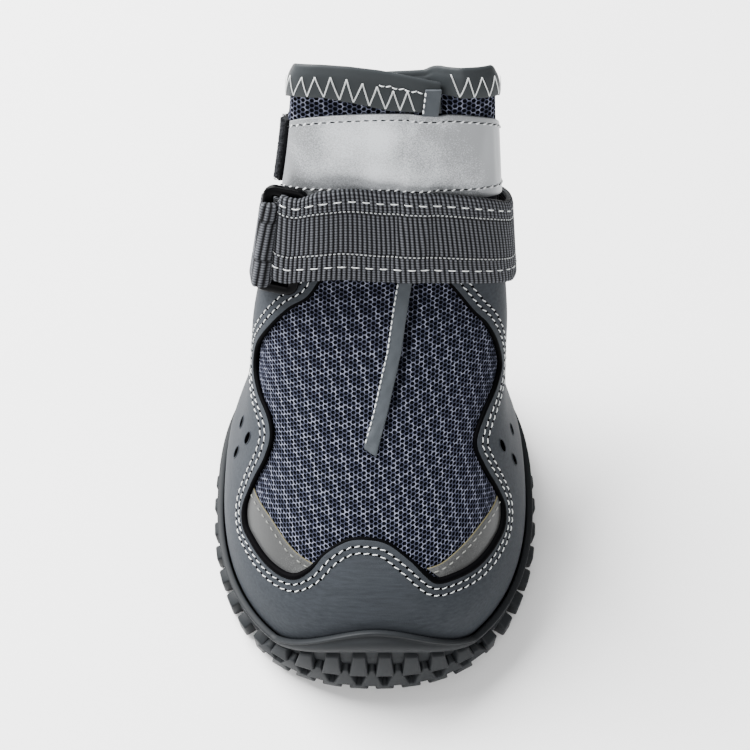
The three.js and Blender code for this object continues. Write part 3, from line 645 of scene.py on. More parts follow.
def build_net(name, s, v_low, v_high, u_max, pitch, keep, hole, material):
    """Knitted net: round each eye a hexagon of yarn.

    Its height over the cloth is 0.30 at the hexagon's edge, 0.27 at the shoulder, 0.14 at the eye's lip
    and 0 in the eye."""
    sc, tc, cu, cv, to_uv, hx, hy = net_cells(v_low, v_high, u_max, pitch, keep)
    # third numbers: the colour's painted shade, 1 on the crest for a painted highlight down to 0 in the eye
    # for painted shade
    rings = [(1.0, 0.30, 1.0), (0.80, 0.27, 0.85), (hole, 0.14, 0.35), (hole * 0.86, 0.0, 0.0)]
    n = len(sc)
    rng = np.random.default_rng(7)
    wobble = rng.normal(0, 0.035, (n, 2))
    tight = 1 - 0.22 * scale_lines(sc, tc)[:, None] + rng.normal(0, 0.05, (n, 1))
    right = np.repeat((cv > SLIT_FOOT) & (wrap(cu) < slit_u(cv)), 6)
    points, chart = [], []

    def cloth(x, y, h):
        """The eyes' corners at (x, y) mm of cloth, h over the last, less the right flap's drop."""
        u, v = to_uv(x.ravel(), y.ravel())
        short = np.maximum(slit_u(v) - wrap(u), 0) * turn_mm(v)
        return out(u, v, h - np.where(right, flap_sink(short, v), 0)).reshape(n, 6, 3)

    for k, (r, h, shade) in enumerate(rings):
        x = sc[:, None] + hx[None] * r * (tight if k > 1 else 1) + (wobble[:, :1] if k > 1 else 0)
        y = tc[:, None] + hy[None] * r * (tight if k > 1 else 1) + (wobble[:, 1:] if k > 1 else 0)
        points.append(cloth(x, y, h))
        # the brighter yarns of the large scales, the net's own pattern, lift the value further
        chart.append(np.stack([x, y, shade * (0.68 + 0.32 * scale_lines(x, y))], -1))
    points.append(cloth(sc[:, None] + hx[None], tc[:, None] + hy[None], -0.08))
    # the eyes' floor takes the near-black painted shade
    chart.append(np.zeros((n, 6, 3)))
    p = np.stack(points, 1)
    c = np.stack(chart, 1)
    levels = p.shape[1]
    base = (np.arange(n) * levels * 6)[:, None, None]
    j = np.arange(6)
    bands = np.concatenate([np.stack([k * 6 + j, k * 6 + (j + 1) % 6, (k + 1) * 6 + (j + 1) % 6,
                                      (k + 1) * 6 + j], -1) for k in range(3)])
    quads = (base + bands[None]).reshape(-1, 4)
    floor = np.array([[3 * 6 + a for a in (0, 1, 2, 3)], [3 * 6 + a for a in (0, 3, 4, 5)],
                      [4 * 6 + a for a in (3, 2, 1, 0)], [4 * 6 + a for a in (5, 4, 3, 0)]])
    quads = np.vstack([quads, (base + floor[None]).reshape(-1, 4)])
    # side walls only where a neighbour is missing, found by counting shared edge middles
    mid = (p[:, 0] + p[:, 0][:, (j + 1) % 6]) / 2
    key = np.round(mid.reshape(-1, 3) * 20).astype(np.int64)
    key = key[:, 0] * 10_000_000_000 + key[:, 1] * 100_000 + key[:, 2]
    _, inverse, counts = np.unique(key, return_inverse=True, return_counts=True)
    lonely = (counts[inverse] == 1).reshape(n, 6)
    wall = np.stack([0 * 6 + (j + 1) % 6, 0 * 6 + j, 4 * 6 + j, 4 * 6 + (j + 1) % 6], -1)
    walls = (base + wall[None])[lonely]
    parts = Parts().add(p, np.vstack([quads, walls]), chart=c)
    obj = parts.mesh(name, weld=0.04)
    return finish_piece(obj, material)


def in_vamp(u, v):
    """Eyes inside the mudguard's edge, and a little under it, clear of the slit on the left flap."""
    w = wrap(u)
    over = np.interp(w, CREST[:, 0], CREST[:, 1], left=0, right=0)
    near = np.interp(v, WING_RING[:, 0], WING_RING[:, 1])
    far = np.interp(v, WING_FAR[:, 0], WING_FAR[:, 1])
    inside = (v > 2.85) & (w < near + 0.012) & (w > -far - 0.012) & (v > over - 0.25)
    gap = (w - slit_u(v)) * turn_mm(v)
    return inside & ~((v > SLIT_FOOT) & (gap > -0.1) & (gap < 0.9))


def in_collar(u, v):
    """Eyes between the silver band and the collar binding."""
    gap = (wrap(u) - slit_u(v)) * turn_mm(v)
    return (v > 10.95) & (v < binding_low(u) + 0.1) & ~((gap > -0.1) & (gap < 0.9))


def build_knit(s):
    """Vamp net and the narrow ring of net under the collar."""
    # 010207 is the eyes' near-black, the dark backing deepened by painted shade; the bright yarn colour is
    # also the crests' painted highlight
    look = net_material("lavender grey knitted net", s_hex(s.yarn_colour), s_hex(s.yarn_bright_and_highlight), "#010207")
    pitch = s.net_pitch / MM
    build_net("vamp_net", s, 2.85, 8.5, 0.2, pitch, in_vamp, 0.85, look)
    build_net("collar_net", s, 10.9, 11.85, 0.49, pitch * 1.08, in_collar, 0.84, look)


def build_mudguard(s):
    """Coated overlay: rings of the foot up to the two valleys, then the crest over the toe and the wings.

    Round the heel each row runs from its ring-side edge (u, v) to its far-side edge by one share."""
    crest = dense(CREST, 70)
    near, far = dense(WING_RING, 150), dense(WING_FAR, 150)
    turn = np.linspace(0, 1, 130)
    share = (1 - np.cos(np.pi * turn)) / 4 + turn / 2
    toe_u, toe_v = crest[:, 0], np.interp(crest[:, 0], CREST[[0, -1], 0], CREST[[0, -1], 1])
    near_u, near_v, far_u, far_v = near[:, 1], near[:, 0], 1 - far[:, 1], far[:, 0]
    ring_u = np.concatenate([toe_u, (near_u[0] + (far_u[0] - near_u[0]) * share)[1:]])
    ring_v = np.concatenate([toe_v, (near_v[0] + (far_v[0] - near_v[0]) * share)[1:]])
    mid = OVERLAY_IN + OVERLAY / 2
    t = np.linspace(0, 1, 26)[:, None]
    grids = [out(ring_u[None] + 0 * t, 0.05 + (ring_v - 0.05)[None] * t, mid)]
    t = np.linspace(0, 1, 16)[:, None]
    grids.append(out(toe_u[None] + 0 * t, toe_v[None] + (crest[:, 1] - toe_v)[None] * t, mid))
    wu = near_u[:, None] + (far_u - near_u)[:, None] * share[None]
    wv = near_v[:, None] + (far_v - near_v)[:, None] * share[None]
    wv = wv - strap_drop(wu) * smooth((wv - 6.8) / 1.2) * smooth(np.minimum(share, 1 - share)[None] / 0.08)
    grids.append(out(wu, wv, mid))
    coated = overlay_material("coated grey overlay", s_hex(s.overlay_colour))
    sheet_piece("mudguard_overlay", grids, OVERLAY, coated, ["mudguard"], bevel=0.22,
                weld=0.05)


def build_dark_cut_edge(s):
    """Black painted edge of the overlay: a flattened bead along its cut, thicker by the silver corners."""
    u, v = edge_line(1400)
    u, v = slide(u, v, np.full(len(u), 0.12))
    low = bell(v - 2.95, 0.5)
    p = out(u, v, 0.86)
    up, round_ = tangents(u, v)
    n = unit(np.cross(up, round_))
    parts = Parts().add(*tubes(p[None], (0.54 + 0.3 * low)[None], n[None], sides=10, flat=1.15))
    obj = parts.mesh("black_cut_edge")
    # near-black along the overlay's cut
    edge_black = plain_material("near-black cut edge", "#010102", 0.7, grain=0.2, Specular_IOR_Level=0.03)
    finish_piece(obj, edge_black)


# edges of the silver corners, share round and station: the inner one on each side, the outer one on both
CORNER_INNER = {
    1: [(0.1712, 3.98), (0.161, 3.84), (0.128, 3.76), (0.097, 3.53), (0.075, 3.44), (0.058, 3.44)],
    -1: [(0.1712, 3.86), (0.160, 3.68), (0.129, 3.63), (0.097, 3.50), (0.075, 3.40), (0.058, 3.40)]}
CORNER_OUTER = [
    (0.178, 3.95), (0.172, 3.3), (0.155, 2.98), (0.125, 2.88), (0.1, 2.85), (0.078, 3.0), (0.062, 3.32)]


def build_silver_corners(s):
    """Two silver patches at the toe's corners, ruled between the mesh line and the overlay's edge."""
    # the silver cloth's painted highlight and painted shade, set by distance from the middle, fall on these
    # patches too
    silver = reflective_material("silver corner cloth", "#585959", 0.3, 0.42)
    border = plain_material("cream cut edge", "#5a553e", 0.7, grain=0.2)
    grey = plain_material("grey sewing thread", "#6d6e6b", 0.6, grain=0.3, scale=6000)
    for side in (1, -1):
        inner, outer = dense(CORNER_INNER[side], 60), dense(CORNER_OUTER, 60)
        f = np.linspace(0, 1, 12)[:, None, None]
        uv = inner[None] * (1 - f) + outer[None] * f
        u, v = uv[..., 0] * side, uv[..., 1]
        name = "ring_side" if side > 0 else "far_side"
        sheet_piece("silver_corner_" + name, [out(u, v, 0.55)], 0.3, silver, bevel=0.08)
        iu, iv = inner[:, 0] * side, inner[:, 1]
        n = unit(np.cross(*tangents(iu, iv)))
        edge = Parts().add(*tubes(out(iu, iv, 0.52)[None], 0.17, n[None], sides=6))
        finish_piece(edge.mesh("cut_edge_" + name), border)
        su, sv = slide(iu, iv, np.full(len(iu), -1.15 * side))
        thread = Parts()
        stitch_line(thread, su[3:-3], sv[3:-3], 0.72, 1.9, 1.15, 0.16, lift=0.1, seed=31)
        finish_piece(thread.mesh("corner_stitches_" + name), grey)


def build_seams(s):
    """Twin rows of pale stitches inside the overlay's edge, each in its own small needle hole."""
    pale = plain_material("pale sewing thread", s_hex(s.thread_colour), 0.55, grain=0.4, scale=7000)
    dark = plain_material("shaded needle hole", "#020202", 0.9, Specular_IOR_Level=0.0)
    u, v = edge_line(1400)
    threads, holes = Parts(), Parts()
    pitch = s.stitch_pitch / MM
    for row, away in enumerate((1.45, 2.95)):
        su, sv = slide(u, v, np.full(len(u), -away))
        keep = slice(12, -12)
        stitch_line(threads, su[keep], sv[keep], OVERLAY_TOP, pitch, pitch * 0.68, 0.11, lift=0.13,
                    skew=0.3, jitter=0.04, seed=5 + row)
        at, lengths = evenly(out(su[keep], sv[keep], OVERLAY_TOP), pitch)
        hu, hv = np.interp(at, lengths, su[keep]), np.interp(at, lengths, sv[keep])
        # painted shade: a near-black oval for the shade in each needle hole
        discs(holes, hu, hv, OVERLAY_TOP + 0.015, 0.36, 0.26)
    finish_piece(threads.mesh("overlay_stitches"), pale)
    finish_piece(holes.mesh("shaded_needle_holes"), dark)


def discs(parts, u, v, offset, half_u, half_v, thick=0.1, sides=14):
    """Small closed ovals laid on the last, half_u round it and half_v up it."""
    up, round_ = tangents(u, v)
    n = unit(np.cross(up, round_))
    x, y = unit(round_), unit(np.cross(n, round_))
    a = np.arange(sides) / sides * 2 * np.pi
    cx, cy = np.cos(a) * half_u, np.sin(a) * half_v
    centre = out(u, v, offset)
    flat = centre[:, None] + cx[None, :, None] * x[:, None] + cy[None, :, None] * y[:, None]
    ring = np.stack([flat, flat - thick * n[:, None]], 1)
    k = len(u)
    base = (np.arange(k) * 2 * sides)[:, None, None]
    j = np.arange(sides)
    wall = np.stack([j, j + sides, (j + 1) % sides + sides, (j + 1) % sides], -1)
    i = np.arange(sides // 2 - 1)
    cap = np.stack([i, i + 1, sides - 2 - i, sides - 1 - i], -1)
    quads = np.concatenate([wall, cap, cap[:, ::-1] + sides])
    return parts.add(ring, (base + quads[None]).reshape(-1, 4))


def build_perforations(s):
    """Three air holes a side: a dark oval well with a raised overlay-coloured lip."""
    places = np.array([(0.233, 4.30), (0.196, 4.59), (0.222, 3.60), (-0.238, 3.94), (-0.187, 4.56),
                       (-0.216, 3.53)])
    painted_hole_shade, lips = Parts(), Parts()
    # painted shade: near-black ovals for the dark depth of the holes
    discs(painted_hole_shade, places[:, 0], places[:, 1], OVERLAY_TOP + 0.03, 1.05, 1.8, 0.3, 28)
    a = np.linspace(0, 2 * np.pi, 37)
    for pu, pv in places:
        up, round_ = (t[0] for t in tangents(np.array([pu]), np.array([pv])))
        n = unit(np.cross(up, round_))
        x, y = unit(round_), unit(np.cross(n, round_))
        c = out(pu, pv, OVERLAY_TOP)
        path = c + np.cos(a)[:, None] * 1.08 * x + np.sin(a)[:, None] * 1.88 * y
        lips.add(*tubes(path[None], 0.16, np.broadcast_to(n, (1, 37, 3)), sides=8))
    dark = plain_material("air hole shade", "#010101", 0.95, Specular_IOR_Level=0.0)
    finish_piece(painted_hole_shade.mesh("air_holes"), dark)
    lip = overlay_material("coated grey lip", "#2b2e32")
    finish_piece(lips.mesh("air_hole_lips"), lip)


STRIP_W = 3.0


def build_slit_edging(s):
    """Grey tape over the slit's left lip, folded under at its foot; it rises over the collar binding."""
    v = np.concatenate([np.linspace(5.56, 11.25, 90), np.linspace(11.40, 11.72, 16)])
    x = np.linspace(-0.35, STRIP_W - 0.2, 9)
    foot = smooth((v - 5.56) / 0.12)
    across = x[None] * (0.82 + 0.18 * foot)[:, None] / turn_mm(v)[:, None]
    rise = 0.75 * smooth((v - 11.30) / 0.06)
    crown = 0.12 * (1 - ((x - 1.2) / 1.6) ** 2)
    u = slit_u(v)[:, None] + across
    across_tape = np.array([0.3, 1, 0.7, -0.2, -0.8, -1, -0.4, 0.5, 1])
    wrinkle = (0.11 * np.sin(19 * v + 1.3 * np.sin(7 * v)))[:, None] * across_tape
    slant = 0.06 * (1 - foot)[:, None] * (x[None] - 1.2) / 1.6
    grid = out(u, v[:, None] + slant, 0.9 + rise[:, None] + crown[None]
               + 0.3 * bell(v - 5.82, 0.06)[:, None] + wrinkle)
    tape = plain_material("grey tape", "#3c4044", 0.6, grain=0.5, scale=3600, distance=0.05, mottle=0.05)
    sheet_piece("slit_tape", [grid], 0.55, tape, ["slit_edging"], bevel=0.14)
    pale = plain_material("tape thread", "#c9cccd", 0.6, grain=0.4, scale=7000)
    threads = Parts()
    line = np.linspace(5.7, 8.6, 120)
    stitch_line(threads, (slit_u(line) + (STRIP_W - 0.35) / turn_mm(line))[::-1], line[::-1], 1.25, 1.3, 0.95,
                0.17, lift=0.06, jitter=0.03, seed=3)
    line = np.linspace(11.38, 11.70, 20)
    stitch_line(threads, (slit_u(line) + (STRIP_W - 0.3) / turn_mm(line))[::-1], line[::-1], 2.02, 1.1, 0.8,
                0.17, lift=0.08)
    finish_piece(threads.mesh("slit_stitches"), pale)


# ---------------------------------------------------------------- the collar
def binding_low(u):
    """Station of the binding's hem."""
    return np.interp(from_slit(u), HEM[:, 0], HEM[:, 1])


def flap_drop(u):
    """Drop of the right flap's rim next to the slit, at the collar."""
    a = from_slit(u)
    mm = (1 - a) * turn_mm(TOP * np.ones_like(a))
    return 1.5 * smooth((4.6 - mm) / 3.4)


def build_collar(s):
    """Folded stretch binding: a sheet from its outside hem over the rim to its inside hem."""
    a = np.concatenate([np.linspace(0.0, 0.9, 150), np.linspace(0.906, 0.996, 24),
                        np.linspace(1.002, 1.13, 26)])
    u = slit_u(TOP) + 0.002 + a
    under = smooth((a - 0.985) / 0.03)
    toward = np.where(a < 0.998, flap_drop(u), 1.5)
    drop = toward + 2.9 * under
    profile = [(-1.0, 0.86), (-0.8, 0.90), (-0.5, 0.84), (-0.22, 0.62), (-0.05, 0.3), (0.05, -0.1),
               (0.06, -0.5), (0.0, -0.95), (-0.15, -1.5), (-0.35, -2.1), (-0.6, -2.5), (-0.9, -2.62)]
    d = dense(profile, 30)
    rim = np.interp(a, RIM[:, 0], RIM[:, 1]) - 0.02 * toward - 0.12 * smooth((a - 0.99) / 0.035)
    rim = rim - 0.4 * np.maximum(a - 1.0, 0)
    depth = rim - np.interp(a, HEM[:, 0], HEM[:, 1])
    pull = 0.06 * np.sin(a * 61.0) + 0.05 * np.sin(a * 97.0 + 1.0)
    vv = rim[None] + np.where(d[:, :1] < 0, d[:, :1] * depth[None], d[:, :1] * 0.8)
    off = d[:, 1:] - drop[None] + 0.6 * pull[None] * bell(d[:, :1] + 0.4, 0.5)
    off = np.where(a > 1, np.maximum(off, -5.2), off)
    grid = out(u[None] + 0 * vv, vv, off)
    look = plain_material("satin binding", s_hex(s.binding_colour), 0.5, grain=0.45, scale=1500,
                          distance=0.08, mottle=0.1)
    sheet_piece("collar_binding_tape", [grid], 0.72, look, ["collar_binding"], bevel=0.2)


def build_collar_stitches(s):
    """Zigzag through the binding's hem and a short chain of stitches beside the slit tape."""
    pale = plain_material("pale collar thread", s_hex(s.thread_colour), 0.55, grain=0.4, scale=7000)
    threads = Parts()
    u = np.linspace(slit_u(TOP) + 0.04, slit_u(TOP) + 0.985, 400)
    s_of = arc_length(out(u, binding_low(u), 1.3))
    legs = int(s_of[-1] / 1.6)
    at = np.linspace(0, s_of[-1], legs + 1)
    zu = np.interp(at, s_of, u)
    rng = np.random.default_rng(17)
    zu = zu + rng.normal(0, 0.0012, len(zu))
    high = np.where(np.arange(len(zu)) % 2 == 0, 0.015, 0.29 + rng.normal(0, 0.008, len(zu)))
    zv = binding_low(zu) + high
    t = np.linspace(0, 1, 8)
    for shift in (-0.07, 0.07):
        pu = zu[:-1, None] * (1 - t) + zu[1:, None] * t
        pv = zv[:-1, None] * (1 - t) + zv[1:, None] * t
        lift = 1.31 + 0.16 * np.sin(np.pi * t) ** 0.5
        p = out(pu + shift / 110, pv, lift[None] - flap_drop(pu))
        n = unit(np.cross(*tangents(pu, pv)))
        threads.add(*tubes(p, 0.055, n, sides=5))
    finish_piece(threads.mesh("collar_zigzag"), pale)
    chain = Parts()
    cu = np.linspace(0.022, -0.046, 60)
    stitch_line(chain, cu, collar_top(cu) - 0.085 + 0.01 * np.sin(cu * 300), 1.1, 1.3, 1.05, 0.13, lift=0.08,
                skew=0.2, jitter=0.06, seed=8)
    finish_piece(chain.mesh("collar_chain_stitch"), pale)


BAND_LOW, BAND_LEFT, BAND_RIGHT, BAND_STITCH = 9.97, 0.188, -0.63, 1.75


def band_high(u):
    """Station of the silver band's top edge: it climbs toward the toe's centre line."""
    return 11.355 - 4.2 * np.minimum(np.abs(wrap(u) + 0.01), 0.24) ** 2


def band_offset(u, v, face):
    """Offset of the band's middle surface, plus face: soft creases and the bump over the slit's tape."""
    w = wrap(u)
    t = (v - BAND_LOW) / 1.2
    crease = (0.30 * bell(w + 0.128 + 0.02 * t, 0.012) - 0.22 * bell(w + 0.155 - 0.03 * t, 0.015)
              + 0.18 * bell(w - 0.09 - 0.05 * t, 0.03) - 0.2 * bell(w - 0.03 + 0.06 * t, 0.035)
              + 0.22 * bell(w + 0.178, 0.01) + 0.12 * np.sin(w * 55 + 3 * t))
    fade = np.sin(np.pi * np.clip(t, 0, 1)) ** 0.5
    return 0.72 + face + 0.75 * strip_bump(u, v, 1.5) + 0.55 * crease * fade


def build_band(s):
    """Silver reflective band round the shaft, with hem stitches along both edges."""
    u = np.linspace(BAND_LEFT, BAND_RIGHT, 420)
    t = np.linspace(0, 1, 16)[:, None]
    v = BAND_LOW + (band_high(u) - BAND_LOW)[None] * t
    uu = u[None] + 0 * v
    # painted highlight down the band's middle and painted shade toward its sides, from reflective_material
    silver = reflective_material("silver reflective cloth", s_hex(s.silver_colour), 0.45, 0.38)
    sheet_piece("silver_band", [out(uu, v, band_offset(uu, v, 0))], 0.6, silver,
                ["reflective_band"], bevel=0.12)
    # the short pale stitches also stand for the thread's painted highlight; the long near-black ovals in the
    # gaps between them are painted shade for the thread in shadow
    grey = plain_material("band thread", "#cfd1d2", 0.6, grain=0.4, scale=7000)
    threads, holes = Parts(), Parts()
    for v_line, seed in ((band_high(u) - 0.085, 4), (BAND_LOW + 0.18 + 0 * u, 6)):
        stitch_line(threads, u, v_line, band_offset(u, v_line, 0.3), BAND_STITCH, 0.85, 0.17, lift=0.12,
                    skew=0.7, jitter=0.02, seed=seed)
        at, lengths = evenly(out(u, v_line, band_offset(u, v_line, 0.3)), BAND_STITCH)
        hu, hv = np.interp(at, lengths, u), np.interp(at, lengths, v_line)
        # painted shade: long near-black ovals for the thread in shadow
        discs(holes, hu, hv, band_offset(hu, hv, 0.33), 0.62, 0.16)
    finish_piece(threads.mesh("band_stitches"), grey)
    dark = plain_material("band stitch shade", "#141517", 0.9)
    finish_piece(holes.mesh("band_stitch_shade"), dark)


def build_tape(s):
    """Black hook tape beside the band, with its fuzz of small hooks."""
    u = np.linspace(0.2, 0.34, 40)
    v = np.linspace(10.2, 11.19, 10)[:, None]
    base = plain_material("black hook tape", "#0d0e10", 0.9, grain=0.6, scale=2500, distance=0.1)
    sheet_piece("hook_tape", [out(u[None] + 0 * v, v, 0.8)], 0.9, base, ["closure_tape"],
                bevel=0.15)
    rng = np.random.default_rng(12)
    k = 1500
    hu, hv = rng.uniform(0.202, 0.338, k), rng.uniform(10.22, 11.17, k)
    up, round_ = (unit(t) for t in tangents(hu, hv))
    n = unit(np.cross(up, round_))
    lean = rng.normal(0, 0.28, (k, 2))
    t = np.linspace(0, 1, 5)[None, :, None]
    p = (out(hu, hv, 1.2)[:, None] + n[:, None] * 0.75 * t
         + (up * lean[:, :1] + round_ * lean[:, 1:])[:, None] * t ** 2)
    hooks = Parts().add(*tubes(p, 0.07, np.broadcast_to(up[:, None], p.shape), sides=4))
    finish_piece(hooks.mesh("tape_hooks"), plain_material("grey hook fuzz", "#2e2f32", 0.85))


# ---------------------------------------------------------------- strap and ring
STRAP_LOW, STRAP_HIGH, STRAP_OFFSET, WEBBING, WEBBING_HALF = 8.33, 10.18, 2.5, 1.3, 10.0
RING_U, RING_V, RING_LIFT, RING_TILT = 0.146, 9.27, 3.9, -0.062
RING_LONG, RING_WIDE, RING_BAR = 11.4, 3.9, 2.6   # half length, half width and bar
# the webbing's fold round a bar of the ring: across the ring and out of its plane
FOLD = [(6.4, -1.9), (4.6, -1.95), (2.55, -1.95), (1.35, -1.45), (0.85, 0), (1.35, 1.45), (2.55, 1.95),
        (4.4, 1.95)]


def strap_v(u, f):
    """Station of the strap at share f across it, 0 its lower edge; it sinks toward the sides."""
    return STRAP_LOW + (STRAP_HIGH - STRAP_LOW) * f - strap_drop(u)


def ring_frame():
    """Centre, along, across (toward the heel on the ring side) and outward directions of the ring."""
    up = unit(tangents(RING_U, RING_V)[0])
    n = unit(np.cross(*tangents(RING_U + RING_TILT, RING_V)))
    up = unit(up - n * (up @ n))
    round_ = tangents(RING_U, RING_V)[1]
    across = unit(np.cross(n, up))
    across = across * np.sign(across @ round_)
    return out(RING_U, RING_V, RING_LIFT), up, across, n


def ring_point(a, b, h):
    """a across, b along and h out of the ring's plane."""
    centre, along, across, n = ring_frame()
    a, b, h = (np.asarray(x, float)[..., None] for x in (a, b, h))
    return centre + across * a + along * b + n * h


def rib_height(along, b, pitch):
    """Height and shade of the weave: ribs across the middle, a finer cord in each border."""
    middle = 1 - smooth((np.abs(b - 1.25) - 4.3) / 0.4)
    rib = np.abs(np.sin(np.pi * along / pitch))
    border = np.abs(np.sin(np.pi * (along / pitch + 0.25)))
    groove = bell(np.abs(b - 1.25) - 4.55, 0.22)
    shade = middle * rib + (1 - middle) * border
    return shade * (1 - 0.8 * groove), 0.24 * shade - 0.14 * groove


def webbing_piece(name, b, paths, pitch, material, replaces):
    """Sheet of even thickness along paths (rows, n, 3), its outside raised by the weave."""
    along = arc_length(paths[len(paths) // 2])
    normal = unit(np.cross(np.gradient(paths, axis=1), np.gradient(paths, axis=0)))
    shade, height = rib_height(along[None], b[:, None], pitch)
    half = WEBBING / 2
    edge = 1 - 0.5 * smooth((np.abs(b) - 9.2) / 0.8)[:, None, None]
    top = paths + normal * (half * edge + height[..., None])
    low = paths - normal * (half * edge + height[..., None])
    chart = np.stack([along[None] + 0 * shade, b[:, None] + 0 * shade, shade], -1)
    parts = Parts().add(np.concatenate([top.reshape(-1, 3), low.reshape(-1, 3)]), shell_faces(*shade.shape),
                        chart=np.concatenate([chart.reshape(-1, 3)] * 2))
    finish_piece(parts.mesh(name), material, replaces)
    return normal


def fold_rows(b, start, scale, shift=0.0):
    """Rows of the webbing's fold round a bar of the ring, start + scale * fold across it."""
    fold = dense(FOLD, 70)
    flat = np.zeros((len(b), len(fold)))
    return ring_point(start + scale * fold[:, 0] + flat, b[:, None] + shift + flat, fold[:, 1] + flat)


def even_rows(rows, step=0.17, passes=6):
    """The rows with points spread evenly, about a step apart on the middle one, then eased passes times."""
    s_of = np.stack([arc_length(r) for r in rows])
    even = np.linspace(0, 1, int(s_of[len(rows) // 2, -1] / step))
    soft = np.stack([np.stack([np.interp(even * s[-1], s, r[:, k]) for k in range(3)], -1)
                     for r, s in zip(rows, s_of)])
    for _ in range(passes):
        soft[:, 1:-1] = 0.5 * soft[:, 1:-1] + 0.25 * (soft[:, :-2] + soft[:, 2:])
    return soft


def strap_sheet():
    """Middle surface of the strap: fold round the ring's front bar, then out(u, v, lift) round the shaft."""
    b = np.linspace(-WEBBING_HALF, WEBBING_HALF, 41)
    u = np.concatenate([[0.098, 0.088, 0.075, 0.062, 0.05, 0.038], np.linspace(0.025, -0.60, 500)])
    uu, ff = np.meshgrid(u, b / WEBBING_HALF * 0.5 + 0.5)
    vv = strap_v(uu, ff) + 0.12 * smooth(uu / 0.07)
    lift = STRAP_OFFSET + 2.2 * smooth(uu / 0.13) + 0.5 * strip_bump(uu, vv) + 0.7 * (1 - ff)
    return b, even_rows(np.concatenate([fold_rows(b, 1.55, -1.0), out(uu, vv, lift)], 1))


def tab_sheet():
    """Middle surface of the ring's own webbing: round the back bar, then down onto the shaft's side."""
    b = np.linspace(-WEBBING_HALF, WEBBING_HALF, 41)
    uu, ff = np.meshgrid(np.linspace(0.245, 0.37, 60), b / WEBBING_HALF * 0.5 + 0.5)
    lift = STRAP_OFFSET + 0.2 + 0.5 * smooth((0.30 - uu) / 0.06)
    side = out(uu, strap_v(uu, ff) - 0.12, lift)
    return b, even_rows(np.concatenate([fold_rows(b, 1.2, 0.7, -2.2), side], 1))


def webbing_threads(name, b, paths, normal, pale, sparkle):
    """Long stitches 6.6 mm below and 8.2 mm above the webbing's middle, and bright yarns between them."""
    stitches, lines = Parts(), Parts()
    for parts, at, proud, pitch, length, radius, lift in (
            (stitches, -6.6, 0.1, 3.0, 2.0, 0.13, 0.16), (stitches, 8.2, 0.1, 3.0, 2.0, 0.13, 0.16),
            (lines, -3.3, 0.02, 0.95, 0.55, 0.15, 0.12), (lines, 5.8, 0.02, 0.95, 0.55, 0.15, 0.12)):
        k = int(round((at + WEBBING_HALF) / (2 * WEBBING_HALF) * (len(b) - 1)))
        top = paths[k] + normal[k] * (WEBBING / 2 + proud)
        chain_line(parts, top, normal[k], pitch, length, radius, lift=lift)
    finish_piece(stitches.mesh(name + "_stitches"), pale)
    finish_piece(lines.mesh(name + "_bright_yarn"), sparkle)


def build_strap(s):
    """Ribbed webbing strap folded round the ring, and the ring's own tab of the same webbing."""
    # 5a5c61 is the ribs' painted highlight, #020203 the grooves' painted shade
    look = webbing_material("ribbed grey webbing", s_hex(s.webbing_colour), "#5a5c61", "#020203")
    pale = plain_material("pale strap thread", s_hex(s.thread_colour), 0.5, grain=0.4, scale=7000)
    bright = plain_material("reflective yarn", "#a5a8a9", 0.45, grain=0.4, scale=7000)
    pitch = s.rib_pitch / MM
    for name, sheet, slot, node_name in (("strap_webbing", strap_sheet, "grey_webbing", "webbing_strap"),
                                         ("ring_tab_webbing", tab_sheet, "tab_webbing", "ring_tab")):
        b, paths = sheet()
        normal = webbing_piece(name, b, paths, pitch, look, [node_name])
        webbing_threads(name, b, paths, normal, pale, bright)


def build_ring(s):
    """Rectangular plastic ring: a rounded square section carried round a rounded rectangle."""
    corner = 1.5
    q = np.repeat(np.arange(4), 13)
    a = (q + np.tile(np.linspace(0, 1, 13), 4)) * np.pi / 2
    sx, sy = np.array([1, -1, -1, 1])[q], np.array([1, 1, -1, -1])[q]
    x = sx * (RING_WIDE - corner) + corner * np.cos(a)
    y = sy * (RING_LONG - corner) + corner * np.sin(a) - 1.2
    w = np.arange(20) / 20 * 2 * np.pi
    square = 0.92 / np.maximum(np.abs(np.cos(w)), np.abs(np.sin(w))) ** 0.6
    d, h = np.cos(w) * square * RING_BAR / 2, np.sin(w) * square * 1.0
    rings = ring_point(x[:, None] + np.cos(a)[:, None] * d, y[:, None] + np.sin(a)[:, None] * d,
                       np.broadcast_to(h, (len(a), 20)))
    parts = Parts().loft(rings)
    plastic = plain_material("black moulded plastic", "#020203", 0.35, grain=0.1, Specular_IOR_Level=0.06)
    finish_piece(parts.mesh("ring_plastic"), plastic, ["ring"])


# ---------------------------------------------------------------- the sole
CUP_IN, FLOOR_Z, SOLE_OUT, LUG_OUT, LUG_DEPTH, LUGS_ROUND = 2.01, 6.6, 2.8, 2.0, 2.6, 42


def ground(y):
    """Height of the lugs' feet: toe spring, a low arch and a heel lift."""
    return (5 * np.clip((-24 - y) / 22, 0, 2) ** 1.8 + np.sin(np.pi * np.clip((y + 8) / 22, 0, 1)) ** 2
            + 1.2 * np.clip((y - 39) / 7, 0, 2) ** 2)


def outline(u, grow, z=None):
    p = out(u, 0.9 + 0 * np.asarray(u, float), SOLE_OUT + grow)
    p[..., 2] = ground(p[..., 1]) if z is None else z
    return p


def rim_top(u):
    """Station of the cup's rim: low along the sides, climbing over the toe and a little at the heel."""
    toe = np.where(np.abs(wrap(u)) < 0.1, (0.5 + 0.5 * np.cos(np.pi * wrap(u) / 0.1)), 0) ** 0.5
    heel = np.where(np.abs(wrap(u - 0.5)) < 0.12, 0.5 + 0.5 * np.cos(np.pi * wrap(u - 0.5) / 0.12), 0)
    return 0.92 + 1.25 * toe + 0.5 * heel


def lip_depth(u):
    """Stations the cup's lip reaches down from its rim: .24, and .55 at the toe."""
    return 0.24 + 0.31 * bell(wrap(u), 0.062)


